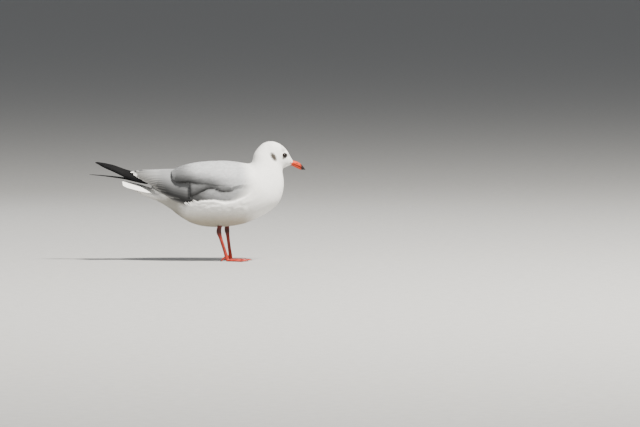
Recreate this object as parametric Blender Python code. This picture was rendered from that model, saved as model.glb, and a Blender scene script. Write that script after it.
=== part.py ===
"""A standing black-headed gull in winter plumage, life size, parted where its parts are named.

Lengths below are in millimetres and become metres when a mesh is made. The bird faces +X, its left
side is +Y and the floor is Z = 0. At the end the whole bird is moved so that the middle of its
footprint box lies on the origin.
"""

import math

import bmesh
import bpy
import numpy as np
from mathutils import Matrix, Vector
from mathutils.bvhtree import BVHTree

MM = 0.001
GAP = 0.3  # left between neighbouring solids
RIGHT, LEFT = -1, 1

# Body: each station joins a point of the back line to a point of the breast and belly line, seen
# from the side, and gives the half width of the slanted section between them.
# back x, back z, belly x, belly z, half width
STATIONS = (
    (-141, 134, -140, 122, 13),  # over the tail root
    (-120, 144, -118, 106.5, 21),  # rump and vent
    (-98, 154, -99, 87, 31),
    (-72, 164.5, -70, 68.2, 39.5),
    (-42, 173, -40, 61, 45),  # middle of the back, lowest point of the belly
    (-10, 176, -8, 61.2, 47),
    (18, 175.8, 26, 66.8, 46.5),
    (32.5, 173, 57, 80.6, 43.5),  # mantle below the nape
    (37.6, 174.6, 74, 91.2, 40.8),
    (39.6, 177.6, 86.5, 103, 37),
    (40.8, 181.5, 93.6, 120, 32.5),  # front of the breast
    (41.2, 186, 96, 140, 27.5),
    (43.5, 193, 93.3, 158, 23.5),  # hind neck and throat
    (48.7, 200, 93.5, 163.6, 21),
    (57.5, 209, 98.5, 166.4, 19.3),
    (69.7, 213.2, 101.9, 167.3, 18.4),  # crown
    (82.7, 211.5, 104.4, 168.2, 17.4),
    (93.1, 205.8, 106.5, 168.8, 15.4),  # forehead
    (101.5, 197.2, 107.8, 169.2, 12.6),
    (108, 187.6, 108.6, 169.6, 9.4),
    (112.6, 181, 109.4, 169.9, 6.6),
    (115.4, 177.6, 110, 170.2, 4.9),  # root of the bill
)
BODY_FULLNESS = 2.15  # exponent of each section's curve, where 2 is an ellipse
STEPS_BETWEEN_STATIONS = 2
BODY_RING_POINTS = 24
NECK_FOOT = 10.5  # stations at which the body is parted, counted along STATIONS
NECK_TOP = 13.0

# Head turn: the bird looks a little to its left.
HEAD_YAW = math.radians(14)
HEAD_AXIS_X = 62
TURN_STARTS, TURN_ENDS = 9.0, 14.0  # stations between which the neck twists

# Bill, before the head turns. Upper half: ridge above, cutting edge below. Lower half likewise.
# x, upper z, lower z, half width
BILL_UPPER = (
    (114, 178.6, 172.6, 3.9),
    (118, 178.1, 170.9, 3.5),
    (122, 176.8, 169.3, 3.1),
    (126, 174.6, 167.6, 2.7),
    (130, 171.4, 165.6, 2.1),
    (133.4, 167.4, 163.6, 1.4),
    (135.6, 163.7, 162.2, 0.6),
)
BILL_LOWER = (
    (111.5, 173.4, 169.2, 3.5),
    (115, 171.9, 167.6, 3.3),
    (119, 170.2, 165.7, 2.9),
    (123, 168.5, 163.8, 2.4),
    (126.5, 167, 162.2, 1.9),
    (129.5, 165.5, 162, 1.3),
    (132.6, 163.7, 162.6, 0.6),
)
BILL_ARC_POINTS = 8  # over the rounded side of each half

EYE_RADIUS = 5.6
EYE_CENTRE = (94.6, 13.2, 188)  # on the left, before the head turns

# Wings, left side: x, then the y and z of the upper and lower edge of the section, how far the
# section bows outwards, and its greatest thickness.
SHOULDER_AND_COVERTS = (
    (42, 27, 160, 38, 131, 6, 4),
    (38, 22, 167, 41, 123, 9, 7),
    (27, 15, 173, 43.5, 115.5, 13, 10),
    (2, 7.5, 177.4, 44.5, 109, 17.6, 13),
    (-34, 5.5, 178.2, 44.5, 109, 17.6, 13),
    (-64, 5.5, 175.2, 41.5, 106, 15.2, 12),
    (-86, 6, 170.2, 35, 119.5, 11, 9),
    (-99, 8, 164.5, 29, 134, 6.6, 5.6),
    (-106, 12, 157, 23, 144, 2.4, 2),
)
TERTIALS_AND_SECONDARIES = (
    (-66, 9, 165.2, 42, 96, 13, 6),
    (-70, 8.6, 165, 42, 95, 13, 7),
    (-78, 8, 164.5, 40.6, 97.6, 12, 7),
    (-100, 6, 163.3, 35, 108.4, 8.8, 6),
    (-130, 5, 162.8, 25.5, 124, 6, 4.6),
    (-154, 4.5, 162.4, 18.5, 136, 3.6, 3.2),
    (-169, 4.5, 161.4, 14, 146, 2, 2),
    (-177, 6, 158.6, 10, 152.6, 0.6, 1),
)
# The right hand wing lies on top with its blade on edge, and the left one lies flat beneath it.
PRIMARIES_RIGHT = (
    (-133, 8, 156, 22, 127.5, 3.4, 2.6),
    (-150, 5, 159.5, 18.4, 133.6, 2, 2.4),
    (-170, 3.6, 162.6, 15.4, 141, 1.4, 2.2),
    (-188, 2.4, 167, 12.2, 146.6, 1, 2),
    (-206, 1.2, 172.2, 8.4, 156.4, 0.8, 1.7),
    (-224, 0.2, 175.8, 4.4, 165.6, 0.5, 1.4),
    (-236, -0.8, 177.4, 1.2, 173, 0.2, 1.1),
    (-240, -0.9, 176.9, 0, 175.3, 0.1, 0.9),
)
PRIMARIES_LEFT = (
    (-133, 8, 153, 22, 127.5, 3.4, 2.6),
    (-150, 4, 151.5, 18.6, 133.4, 2.4, 2.4),
    (-170, 1.4, 149.8, 16, 141, 1.6, 2.2),
    (-190, -1.6, 151, 12.4, 146.6, 1.2, 2),
    (-210, -4.6, 153.2, 8.2, 150.4, 0.9, 1.7),
    (-230, -7.6, 155.2, 2.8, 153.6, 0.6, 1.4),
    (-246, -9, 156.4, -4, 155.8, 0.2, 1.1),
    (-250, -8.2, 156.6, -6, 156.4, 0.1, 0.9),
)
# Tail: x, half width, height of the middle, drop of the edges, thickness.
TAIL = (
    (-108, 9, 115, 1.5, 5),
    (-134, 16, 124.4, 3.4, 7),
    (-160, 21, 134.2, 7.2, 4.6),
    (-182, 24.5, 139.8, 6.4, 2.6),
    (-190, 25, 142, 4.8, 1.8),
    (-192.5, 24, 142.4, 4.4, 1.2),
)
PLATE_POINTS = 8  # along each face of a wing or tail section
STEPS_BETWEEN_PLATES = 2
WING_PROUD = 2.2  # the folded wing stands at least this far out of the body
WING_SINKS = 0.6  # share of the wing's depth below which it sinks under the flank
SINKING = 14  # and how fast, over its whole depth

# Legs: x, y, z down the middle of the leg, and its radius fore and aft. y is for the left leg.
LEG_RIGHT = (
    (-15.5, 21, 74, 4.6),
    (-18.2, 20.8, 62, 3.6),
    (-19.6, 20.6, 54, 4),
    (-18.8, 20.4, 49.6, 3.9),
    (-17, 20, 43.5, 2.7),
    (-11.2, 18.8, 25.5, 2.4),
    (-7, 17.8, 12, 2.7),
    (-5.4, 17.4, 6.4, 3.3),
    (-4.8, 17.3, 3.4, 3),
)
LEG_LEFT = (
    (-5.5, 21, 75, 4.6),
    (-5.6, 20.8, 64, 3.6),
    (-5.8, 20.6, 56.4, 4),
    (-5.4, 20.4, 52, 3.9),
    (-4.4, 20, 45.5, 2.7),
    (-2, 18.8, 26.5, 2.4),
    (0, 17.8, 12, 2.7),
    (0.7, 17.4, 6.4, 3.3),
    (1.2, 17.3, 3.4, 3),
)
LEG_NARROWING = 0.8  # sideways radius over the radius fore and aft
LEG_RING_POINTS = 10
TOE_RING_POINTS = 8
SOLE_PARTING = 10.5  # height at which leg and foot are parted

# Toes: length to the claw, angle outwards from straight ahead, radius at the root.
TOES = {"inner": (23, -27, 2.2), "middle": (34, 3, 2.5), "outer": (31, 33, 2.3)}
TOE_AHEAD = 1.0  # toes start this far in front of the end of the leg
TOE_HEIGHT = 1.85  # of the middle of a toe at its root
TOE_SWELL = 0.22
TOE_JOINTS = 3
CLAW_LENGTH = 5
CLAW_RADIUS = 1.1
WEB_LOW, WEB_HIGH = 0.35, 1.25
WEB_SAG = 0.2  # how far its front edge curves back
# The short hind toe: x, z and radius behind the leg. Its claw just meets the floor.
HIND_TOE = ((-4, 7.6, 1.6), (-8, 4, 1.4), (-10.2, 1.4, 1.2), (-12, 0.5, 0.7))


def clear_scene():
    for obj in list(bpy.data.objects):
        bpy.data.objects.remove(obj)


def collection(name, is_helper=False):
    made = bpy.data.collections.new(name)
    made.hide_render = is_helper
    bpy.context.scene.collection.children.link(made)
    return made


def finish(name, colour, roughness):
    """A plain Principled material for one part of the bird."""
    made = bpy.data.materials.new(name)
    made.use_nodes = True
    shader = made.node_tree.nodes["Principled BSDF"]
    shader.inputs["Base Color"].default_value = (*colour, 1)
    shader.inputs["Roughness"].default_value = roughness
    made.diffuse_color = (*colour, 1)
    return made


def through(rows, steps):
    """Rows on a smooth Catmull-Rom curve through the given ones, with steps rows for each span."""
    rows = np.array(rows, float)
    ends = np.vstack([2 * rows[0] - rows[1], rows, 2 * rows[-1] - rows[-2]])
    found = []
    for i in range(len(rows) - 1):
        a, b, c, d = ends[i : i + 4]
        for t in np.arange(steps) / steps:
            found.append(
                0.5 * (2 * b + (c - a) * t + (2 * a - 5 * b + 4 * c - d) * t**2)
                + 0.5 * (3 * b - a - 3 * c + d) * t**3
            )
    return np.array(found + [rows[-1]])


def smooth_share(value, low, high):
    t = min(max((value - low) / (high - low), 0), 1)
    return t * t * (3 - 2 * t)


def turned(point, share=1.0):
    """A point of the head as it lies once the neck has twisted by a share of the yaw."""
    turn = Matrix.Rotation(HEAD_YAW * share, 3, "Z")
    axis = Vector((HEAD_AXIS_X, 0, 0))
    return turn @ (Vector(point) - axis) + axis


def loft(name, rings, into, material=None):
    """A closed solid through rings of points in millimetres, with a flat face at each end."""
    bm = bmesh.new()
    loops = [[bm.verts.new(Vector(p) * MM) for p in ring] for ring in rings]
    for first, second in zip(loops, loops[1:]):
        for k in range(len(first)):
            n = (k + 1) % len(first)
            bm.faces.new((first[k], first[n], second[n], second[k]))
    bm.faces.new(loops[0])
    bm.faces.new(loops[-1])
    bmesh.ops.recalc_face_normals(bm, faces=bm.faces)
    return as_object(name, bm, into, material)


def as_object(name, bm, into, material=None):
    mesh = bpy.data.meshes.new(name)
    bm.to_mesh(mesh)
    bm.free()
    mesh.shade_smooth()
    mesh.set_sharp_from_angle(angle=math.radians(40))
    obj = bpy.data.objects.new(name, mesh)
    into.objects.link(obj)
    if material:
        mesh.materials.append(material)
    if into.hide_render:
        as_helper(obj)
    return obj


def as_helper(obj):
    obj.hide_render = True
    obj.display_type = "WIRE"


def swollen(obj, by=GAP):
    """A cutter: the solid grown outwards by the gap that its neighbour keeps to it."""
    bm = bmesh.new()
    bm.from_mesh(obj.data)
    bm.normal_update()
    for vert in bm.verts:
        vert.co += vert.normal * vert.calc_shell_factor() * by * MM
    return as_object(obj.name + "_room", bm, CUTTERS)


def boolean(obj, operation, other):
    """Adds a Boolean with one object, or with all the objects of a collection."""
    modifier = obj.modifiers.new(operation.lower(), "BOOLEAN")
    modifier.operation = operation
    if isinstance(other, bpy.types.Collection):
        modifier.operand_type = "COLLECTION"
        modifier.collection = other
    else:
        modifier.object = other


def superellipse(angle, exponent):
    """Cosine and sine of an angle, squared out towards the corners by the exponent."""
    return [
        math.copysign(abs(v) ** (2 / exponent), v)
        for v in (math.cos(angle), math.sin(angle))
    ]


def body_ring(row, twist):
    """The slanted section of the body at a station, facing along the spine."""
    back, belly = Vector((row[0], 0, row[1])), Vector((row[2], 0, row[3]))
    middle, half = (back + belly) / 2, (back - belly) / 2
    ring = []
    for k in range(BODY_RING_POINTS):
        up, side = superellipse(2 * math.pi * k / BODY_RING_POINTS, BODY_FULLNESS)
        ring.append(turned(middle + half * up + Vector((0, row[4] * side, 0)), twist))
    return ring


def twist_at(station):
    return smooth_share(station, TURN_STARTS, TURN_ENDS)


def body_rings():
    rows = through(STATIONS, STEPS_BETWEEN_STATIONS)
    places = np.arange(len(rows)) / STEPS_BETWEEN_STATIONS
    return [body_ring(row, twist_at(place)) for row, place in zip(rows, places)]


def parting_plane(station):
    """A point and the forward normal of the body section at a place between two stations."""
    low = int(station)
    share = station - low
    row = (1 - share) * np.array(STATIONS[low]) + share * np.array(
        STATIONS[min(low + 1, len(STATIONS) - 1)]
    )
    back, belly = Vector((row[0], 0, row[1])), Vector((row[2], 0, row[3]))
    normal = Vector((0, 1, 0)).cross(back - belly).normalized()
    if normal.x < 0:
        normal.negate()
    origin = turned((0, 0, 0), twist_at(station))
    return (
        turned((back + belly) / 2, twist_at(station)),
        turned(normal, twist_at(station)) - origin,
    )


def length_between(whole, name, low, high, material):
    """The length of a solid between two parting planes, each set back by half the gap."""
    bm = bmesh.new()
    bm.from_mesh(whole.data)
    for plane, direction in ((low, -1), (high, 1)):
        if plane is None:
            continue
        point, normal = plane
        cut = bmesh.ops.bisect_plane(
            bm,
            geom=bm.verts[:] + bm.edges[:] + bm.faces[:],
            dist=1e-7,
            plane_co=(point - normal * direction * GAP / 2) * MM,
            plane_no=normal * direction,
            clear_outer=True,
        )
        edges = [e for e in cut["geom_cut"] if isinstance(e, bmesh.types.BMEdge)]
        bmesh.ops.contextual_create(bm, geom=edges)
    bmesh.ops.recalc_face_normals(bm, faces=bm.faces)
    return as_object(name, bm, GULL, material)


def body_side(body, x, z):
    """How far the body's left side reaches from the middle at a place, or None beside it."""
    hit = body.ray_cast(Vector((x, 200, z)) * MM, Vector((0, -1, 0)))[0]
    return hit.y / MM if hit else None


def plate_ring(x, upper, lower, bow, thickness, side=LEFT, body=None):
    """A thin bowed section at x, from its upper to its lower edge as (y, z) and back inside."""
    upper, lower = Vector(upper), Vector(lower)
    along = (lower - upper).normalized()
    outward = Vector((-along.y, along.x))
    faces = []
    for face in (1, -1):
        points = []
        for k in range(PLATE_POINTS):
            v = k / (PLATE_POINTS - 1)
            swell = math.sin(math.pi * v)
            half = thickness / 2 * (0.25 + 0.75 * math.sqrt(swell))
            at = upper.lerp(lower, v) + outward * (bow * swell + face * half)
            beside = body_side(body, x, at.y) if body and face == 1 else None
            if beside:
                proud = WING_PROUD * min(1, 8 * v) - SINKING * max(0, v - WING_SINKS)
                at.x = max(at.x, beside + proud)
            points.append(Vector((x, at.x * side, at.y)))
        faces.append(points)
    return faces[0] + faces[1][::-1]


def plate(name, rows, side, material, body=None, steps=STEPS_BETWEEN_PLATES):
    rings = [
        plate_ring(r[0], r[1:3], r[3:5], r[5], max(r[6], 0.8), side, body)
        for r in through(rows, steps)
    ]
    return loft(name, rings, GULL, material)


def tail(material):
    rings = [
        plate_ring(x, (-half, z - drop), (half, z - drop), drop, thick)
        for x, half, z, drop, thick in TAIL
    ]
    return loft("tail", rings, GULL, material)


def bill_half(name, rows, flat_side, material):
    """Half of the bill: rounded on one side and flat where the halves meet."""
    rings = []
    for x, top, bottom, half_width in through(rows, STEPS_BETWEEN_PLATES):
        flat, ridge = (bottom, top) if flat_side < 0 else (top, bottom)
        ring = []
        for k in range(BILL_ARC_POINTS):
            angle = math.pi * k / (BILL_ARC_POINTS - 1)
            z = flat + (ridge - flat) * math.sin(angle) ** 0.9
            ring.append(turned((x, half_width * math.cos(angle), z)))
        rings.append(ring)
    return loft(name, rings, GULL, material)


def bill(material):
    lower = bill_half("bill_lower", BILL_LOWER, 1, material)
    upper = bill_half("bill_upper", BILL_UPPER, -1, material)
    boolean(lower, "DIFFERENCE", swollen(upper))
    return upper, lower


def eye(side, material):
    x, y, z = EYE_CENTRE
    bm = bmesh.new()
    bmesh.ops.create_uvsphere(
        bm,
        u_segments=14,
        v_segments=8,
        radius=EYE_RADIUS * MM,
        matrix=Matrix.Rotation(math.pi / 2, 4, "X"),
    )
    bmesh.ops.translate(bm, verts=bm.verts, vec=turned((x, y * side, z)) * MM)
    return as_object(f"eye_{side_name(side)}", bm, GULL, material)


def side_name(side):
    return "left" if side == LEFT else "right"


def tube_ring(centre, direction, fore_radius, side_radius, points):
    """An upright or leaning oval ring round a point, at right angles to a direction."""
    direction = Vector(direction).normalized()
    sideways = Vector((0, 1, 0))
    fore = direction.cross(sideways).normalized()
    sideways = fore.cross(direction).normalized()
    ring = []
    for k in range(points):
        angle = 2 * math.pi * k / points
        step = fore * fore_radius * math.cos(angle) + sideways * side_radius * math.sin(angle)
        ring.append(Vector(centre) + step)
    return ring


def tube(name, rows, narrowing, into, points):
    """A closed tube through (x, y, z, radius) rows."""
    rings = []
    for i, (x, y, z, radius) in enumerate(rows):
        before, after = rows[max(i - 1, 0)], rows[min(i + 1, len(rows) - 1)]
        direction = Vector(after[:3]) - Vector(before[:3])
        rings.append(tube_ring((x, y, z), direction, radius, radius * narrowing, points))
    return loft(name, rings, into)


def whole_leg(side):
    rows = through(LEG_LEFT if side == LEFT else LEG_RIGHT, 2)
    rows[:, 1] *= side
    return tube(f"whole_leg_{side_name(side)}", rows, LEG_NARROWING, CUTTERS, LEG_RING_POINTS)


def leg(side, whole, material):
    plane = (Vector((0, 0, SOLE_PARTING)), Vector((0, 0, 1)))
    return length_between(whole, f"leg_{side_name(side)}", plane, None, material)


def toe_line(side, leg_end, length, angle, root_radius):
    """(x, y, z, radius) rows along a toe and its claw, swelling a little at each joint."""
    heading = math.radians(angle) * side
    ahead = Vector((math.cos(heading), math.sin(heading)))
    start = Vector((leg_end[0] + TOE_AHEAD, leg_end[1] * side)) - ahead * 2
    rows = []
    for t in np.linspace(0, 1, 2 * TOE_JOINTS + 1):
        radius = root_radius * (1 - 0.35 * t)
        radius += TOE_SWELL * math.cos(2 * math.pi * TOE_JOINTS * t)
        at = start + ahead * length * t
        rows.append((at.x, at.y, TOE_HEIGHT - 0.55 * t, radius))
    tip = start + ahead * (length + CLAW_LENGTH * 0.5)
    rows.append((tip.x, tip.y, 1.35, CLAW_RADIUS * 0.8))
    tip = start + ahead * (length + CLAW_LENGTH)
    rows.append((tip.x, tip.y, 0.7, 0.35))
    return rows


def web_outline(lines):
    """The web: along the inner toe, in a curve to the middle one and on, and along the outer."""
    inner, middle, outer = (
        [Vector(row[:2]) for row in lines[key][: 2 * TOE_JOINTS + 1]]
        for key in ("inner", "middle", "outer")
    )
    root = middle[0]
    outline = inner[1:]
    for a, b in ((inner[-1], middle[-1]), (middle[-1], outer[-1])):
        for t in (0.25, 0.5, 0.75):
            outline.append(a.lerp(b, t).lerp(root, WEB_SAG * math.sin(math.pi * t)))
        outline.append(b)
    return outline + outer[-2:0:-1]


def web(name, lines, into):
    bm = bmesh.new()
    points = [(p.x * MM, p.y * MM, WEB_LOW * MM) for p in web_outline(lines)]
    face = bm.faces.new([bm.verts.new(p) for p in points])
    made = bmesh.ops.extrude_face_region(bm, geom=[face])
    raised = [v for v in made["geom"] if isinstance(v, bmesh.types.BMVert)]
    bmesh.ops.translate(bm, verts=raised, vec=(0, 0, (WEB_HIGH - WEB_LOW) * MM))
    bmesh.ops.recalc_face_normals(bm, faces=bm.faces)
    return as_object(name, bm, into)


def below_the_floor():
    bm = bmesh.new()
    bmesh.ops.create_cube(bm, size=0.4, matrix=Matrix.Translation((0, 0, -0.2)))
    return as_object("below_the_floor", bm, CUTTERS)


def foot(side, whole, floor, material):
    """The end of the leg joined to its webbed toes, flat where it stands."""
    name = side_name(side)
    end = (LEG_LEFT if side == LEFT else LEG_RIGHT)[-1]
    plane = (Vector((0, 0, SOLE_PARTING)), Vector((0, 0, 1)))
    made = length_between(whole, f"foot_{name}", None, plane, material)
    pieces = collection(f"toes_{name}", is_helper=True)
    lines = {key: toe_line(side, end, *size) for key, size in TOES.items()}
    for key, rows in lines.items():
        tube(f"toe_{key}_{name}", rows, 1.1, pieces, TOE_RING_POINTS)
    web(f"web_{name}", lines, pieces)
    hind = [(end[0] + x, end[1] * side, z, radius) for x, z, radius in HIND_TOE]
    hind.insert(0, (end[0] + 1, end[1] * side, 8.4, 1.6))
    tube(f"toe_hind_{name}", hind, 0.9, pieces, TOE_RING_POINTS)
    boolean(made, "UNION", pieces)
    boolean(made, "DIFFERENCE", floor)
    return made


def stand_on_origin():
    """Moves the whole bird so that the middle of its box lies over the origin."""
    graph = bpy.context.evaluated_depsgraph_get()
    corners = [
        obj.matrix_world @ Vector(corner)
        for obj in GULL.objects
        for corner in obj.evaluated_get(graph).bound_box
    ]
    low, high = np.min(corners, axis=0), np.max(corners, axis=0)
    bird = bpy.data.objects.new("gull", None)
    bpy.context.scene.collection.objects.link(bird)
    for obj in [*GULL.objects, *CUTTERS.objects, *loose_toes()]:
        obj.parent = bird
    bird.location = (-(low[0] + high[0]) / 2, -(low[1] + high[1]) / 2, 0)


def loose_toes():
    return [o for c in bpy.data.collections if c.name.startswith("toes_") for o in c.objects]


def build():
    white = finish("white_plumage", (0.86, 0.86, 0.84), 0.75)
    grey = finish("grey_plumage", (0.44, 0.46, 0.49), 0.7)
    black = finish("black_primaries", (0.02, 0.02, 0.022), 0.5)
    tail_white = finish("tail_white", (0.88, 0.88, 0.87), 0.65)
    bill_red = finish("bill_red", (0.72, 0.12, 0.06), 0.35)
    leg_red = finish("leg_red", (0.62, 0.12, 0.08), 0.45)
    eye_dark = finish("eye_dark", (0.015, 0.01, 0.008), 0.08)

    whole = loft("whole_body", body_rings(), CUTTERS)
    body = BVHTree.FromObject(whole, bpy.context.evaluated_depsgraph_get())
    neck_foot, neck_top = parting_plane(NECK_FOOT), parting_plane(NECK_TOP)
    trunk = length_between(whole, "trunk", None, neck_foot, white)
    length_between(whole, "neck", neck_foot, neck_top, white)
    head = length_between(whole, "head", neck_top, None, white)

    upper, lower = bill(bill_red)
    for half in (upper, lower):
        boolean(head, "DIFFERENCE", swollen(half))
    boolean(trunk, "DIFFERENCE", swollen(tail(tail_white)))
    floor = below_the_floor()
    for side in (RIGHT, LEFT):
        name = side_name(side)
        boolean(head, "DIFFERENCE", swollen(eye(side, eye_dark)))
        coverts = plate(f"wing_{name}", SHOULDER_AND_COVERTS, side, grey, body)
        quills = plate(f"tertials_{name}", TERTIALS_AND_SECONDARIES, side, grey, steps=1)
        rows = PRIMARIES_LEFT if side == LEFT else PRIMARIES_RIGHT
        primaries = plate(f"primaries_{name}", rows, side, black, steps=1)
        boolean(trunk, "DIFFERENCE", swollen(coverts))
        boolean(trunk, "DIFFERENCE", swollen(quills))
        boolean(quills, "DIFFERENCE", bpy.data.objects[coverts.name + "_room"])
        boolean(primaries, "DIFFERENCE", bpy.data.objects[quills.name + "_room"])
        whole = whole_leg(side)
        boolean(trunk, "DIFFERENCE", swollen(leg(side, whole, leg_red)))
        foot(side, whole, floor, leg_red)
    stand_on_origin()


clear_scene()
GULL = collection("gull")
CUTTERS = collection("cutters", is_helper=True)
build()
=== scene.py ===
# %% [markdown]
# # A black-headed gull for a museum case
# The bird stands life size in its grey and white winter dress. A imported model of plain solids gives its
# true sizes, and this lesson dresses that model: one skin under the plumage, then feathers in the order
# in which they grow over one another, and last the bill, the eyes and the claws. Lengths are in metres.
# The bird faces +X, its left side is +Y and the floor is Z = 0.

import math
import time

import bmesh
import bpy
import numpy as np
from mathutils import Matrix, Vector, kdtree, noise
from mathutils.bvhtree import BVHTree


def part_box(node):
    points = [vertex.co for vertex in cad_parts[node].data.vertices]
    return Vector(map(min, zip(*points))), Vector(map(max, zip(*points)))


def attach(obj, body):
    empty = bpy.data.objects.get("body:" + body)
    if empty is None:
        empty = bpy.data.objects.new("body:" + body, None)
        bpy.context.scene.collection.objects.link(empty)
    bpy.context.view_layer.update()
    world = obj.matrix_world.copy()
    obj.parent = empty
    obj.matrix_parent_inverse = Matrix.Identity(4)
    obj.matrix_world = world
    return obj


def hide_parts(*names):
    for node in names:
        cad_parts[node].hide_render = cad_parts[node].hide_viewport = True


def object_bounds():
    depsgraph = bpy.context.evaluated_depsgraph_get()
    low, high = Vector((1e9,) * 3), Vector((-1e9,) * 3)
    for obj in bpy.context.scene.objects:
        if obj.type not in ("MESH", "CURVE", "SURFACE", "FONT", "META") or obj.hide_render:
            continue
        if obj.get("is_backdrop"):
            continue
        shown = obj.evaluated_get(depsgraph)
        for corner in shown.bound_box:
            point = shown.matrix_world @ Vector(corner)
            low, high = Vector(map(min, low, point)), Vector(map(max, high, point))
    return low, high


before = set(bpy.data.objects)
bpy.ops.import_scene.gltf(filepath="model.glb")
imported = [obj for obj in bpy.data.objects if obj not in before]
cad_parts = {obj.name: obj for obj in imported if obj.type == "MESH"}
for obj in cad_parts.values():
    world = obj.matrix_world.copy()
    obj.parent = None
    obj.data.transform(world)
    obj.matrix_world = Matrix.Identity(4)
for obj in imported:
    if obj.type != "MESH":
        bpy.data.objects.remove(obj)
CAD_LOW, CAD_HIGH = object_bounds()
STARTED = time.time()
MM = 0.001
FULL_TURN = 2 * math.pi
RIGHT, LEFT = -1, 1
SIDES = {"left": LEFT, "right": RIGHT}
DICE = np.random.default_rng(38)
print(f"{len(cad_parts)} nodes, {CAD_HIGH.x - CAD_LOW.x:.3f} m long")

# %% [markdown]
# ## Camera
# A long lens from far away flattens the bird as a naturalist's picture does. Its focal length follows
# from the width of the picture at the bird and the distance, so only those two are chosen.

# %% Camera
PICTURE_WIDTH = 1.139
PICTURE_CENTRE = Vector((0.2184, 0, 0.0846))
CAMERA_AWAY = 12
CAMERA_RISE = math.radians(2.5)
SENSOR_WIDTH = 36

scene = bpy.context.scene
lens = bpy.data.cameras.new("camera")
lens.sensor_width = SENSOR_WIDTH
lens.lens = SENSOR_WIDTH * CAMERA_AWAY / PICTURE_WIDTH
lens.clip_end = 5 * CAMERA_AWAY
camera = bpy.data.objects.new("camera", lens)
scene.collection.objects.link(camera)
sight = Vector((0, -math.cos(CAMERA_RISE), math.sin(CAMERA_RISE)))
camera.location = PICTURE_CENTRE + sight * CAMERA_AWAY
camera.rotation_euler = (math.pi / 2 - CAMERA_RISE, 0, 0)
scene.camera = camera
print(f"lens {lens.lens:.0f} mm")

# %% [markdown]
# ## Words for making materials
# A material is a small graph of nodes. It could be wired by hand in the editor, but the same few steps
# come back in every finish of the bird, so each step gets a short function: sums, a noise pattern, a
# change of range, a mix of two colours, and a bump.


# %% Nodes and their links
def node_material(name, roughness, **sockets):
    """A new node material and its Principled shader, with constants set on the shader itself."""
    made = bpy.data.materials.new(name)
    made.use_nodes = True
    shader = made.node_tree.nodes["Principled BSDF"]
    shader.inputs["Roughness"].default_value = roughness
    for key, value in sockets.items():
        shader.inputs[key.replace("_", " ")].default_value = value
    return made, made.node_tree, shader


def add_node(tree, kind, links=None, **settings):
    """One shader node. links gives what feeds its inputs: a socket, or a constant."""
    made = tree.nodes.new(kind)
    for key, value in settings.items():
        setattr(made, key, value)
    for key, value in (links or {}).items():
        if isinstance(value, bpy.types.NodeSocket):
            tree.links.new(value, made.inputs[key])
        else:
            made.inputs[key].default_value = value
    return made


def maths(tree, operation, *values):
    """A sum of one or two values."""
    return add_node(tree, "ShaderNodeMath", dict(enumerate(values)), operation=operation).outputs[0]


def mixed(tree, share, first, second, blend="MIX"):
    """A colour between two others. Inputs 6 and 7 of the node are its two colours."""
    links = {"Factor": share}
    for index, value in ((6, first), (7, second)):
        links[index] = value if isinstance(value, bpy.types.NodeSocket) else (*value, 1)
    return add_node(tree, "ShaderNodeMix", links, data_type="RGBA", blend_type=blend).outputs[2]


print("material words ready")


# %% Patterns
def object_place(tree):
    """The place of each point of the piece, which a pattern reads."""
    return add_node(tree, "ShaderNodeTexCoord").outputs["Object"]


def noise_on(tree, scale):
    """Soft random spots, about one over the scale in size."""
    links = {"Vector": object_place(tree), "Scale": scale, "Detail": 3.0, "Roughness": 0.5}
    return add_node(tree, "ShaderNodeTexNoise", links).outputs[0]


def remap(tree, value, low, high, new_low=0.0, new_high=1.0):
    """A value moved softly from one range to another."""
    links = {"Value": value, "From Min": low, "From Max": high, "To Min": new_low, "To Max": new_high}
    return add_node(tree, "ShaderNodeMapRange", links, interpolation_type="SMOOTHSTEP").outputs[0]


def bump(tree, shader, height, distance, strength):
    """Fine relief in the light alone, of a height in metres."""
    made = add_node(tree, "ShaderNodeBump", {"Height": height, "Distance": distance, "Strength": strength})
    tree.links.new(made.outputs[0], shader.inputs["Normal"])


print("pattern words ready")

# %% [markdown]
# ## Floor
# A museum case has a plain pale floor. A wide disc reaches past every view, and a faint grain keeps it
# from looking like flat paper. It isn't part of the bird, so it is set on the stage.

# %% Floor
FLOOR_RADIUS = 50
FLOOR_DARK, FLOOR_LIGHT = (0.34, 0.338, 0.33), (0.37, 0.368, 0.36)

floor_material, tree, shader = node_material("pale_floor", 0.85)
grain = remap(tree, noise_on(tree, 60), 0.3, 0.7)
tree.links.new(mixed(tree, grain, FLOOR_DARK, FLOOR_LIGHT), shader.inputs["Base Color"])


def as_mesh(bm, name):
    """Turns a bmesh into a mesh and frees it."""
    mesh = bpy.data.meshes.new(name)
    bm.to_mesh(mesh)
    bm.free()
    return mesh


bm = bmesh.new()
bmesh.ops.create_circle(bm, cap_ends=True, segments=96, radius=FLOOR_RADIUS)
floor = bpy.data.objects.new("floor", as_mesh(bm, "floor"))
floor.data.materials.append(floor_material)
scene.collection.objects.link(floor)
floor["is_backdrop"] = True
print(f"floor {2 * FLOOR_RADIUS} m across")

# %% [markdown]
# ## Light
# Large soft lamps stand in for a bright sky with the sun in front of the bird and to its right. One lamp
# alone would leave the far side black, and many would flatten the plumage. Strong key light, a weak fill
# and a rim from behind keep the shading of white feathers instead of burning it out.

# %% Light
SKY_COLOUR, SKY_STRENGTH = (0.93, 0.96, 1, 1), 0.28
LAMP_AIM = Vector((0, 0, 0.12))

scene.world = bpy.data.worlds.new("studio")
scene.world.use_nodes = True
sky = scene.world.node_tree.nodes["Background"]
sky.inputs["Color"].default_value = SKY_COLOUR
sky.inputs["Strength"].default_value = SKY_STRENGTH


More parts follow.
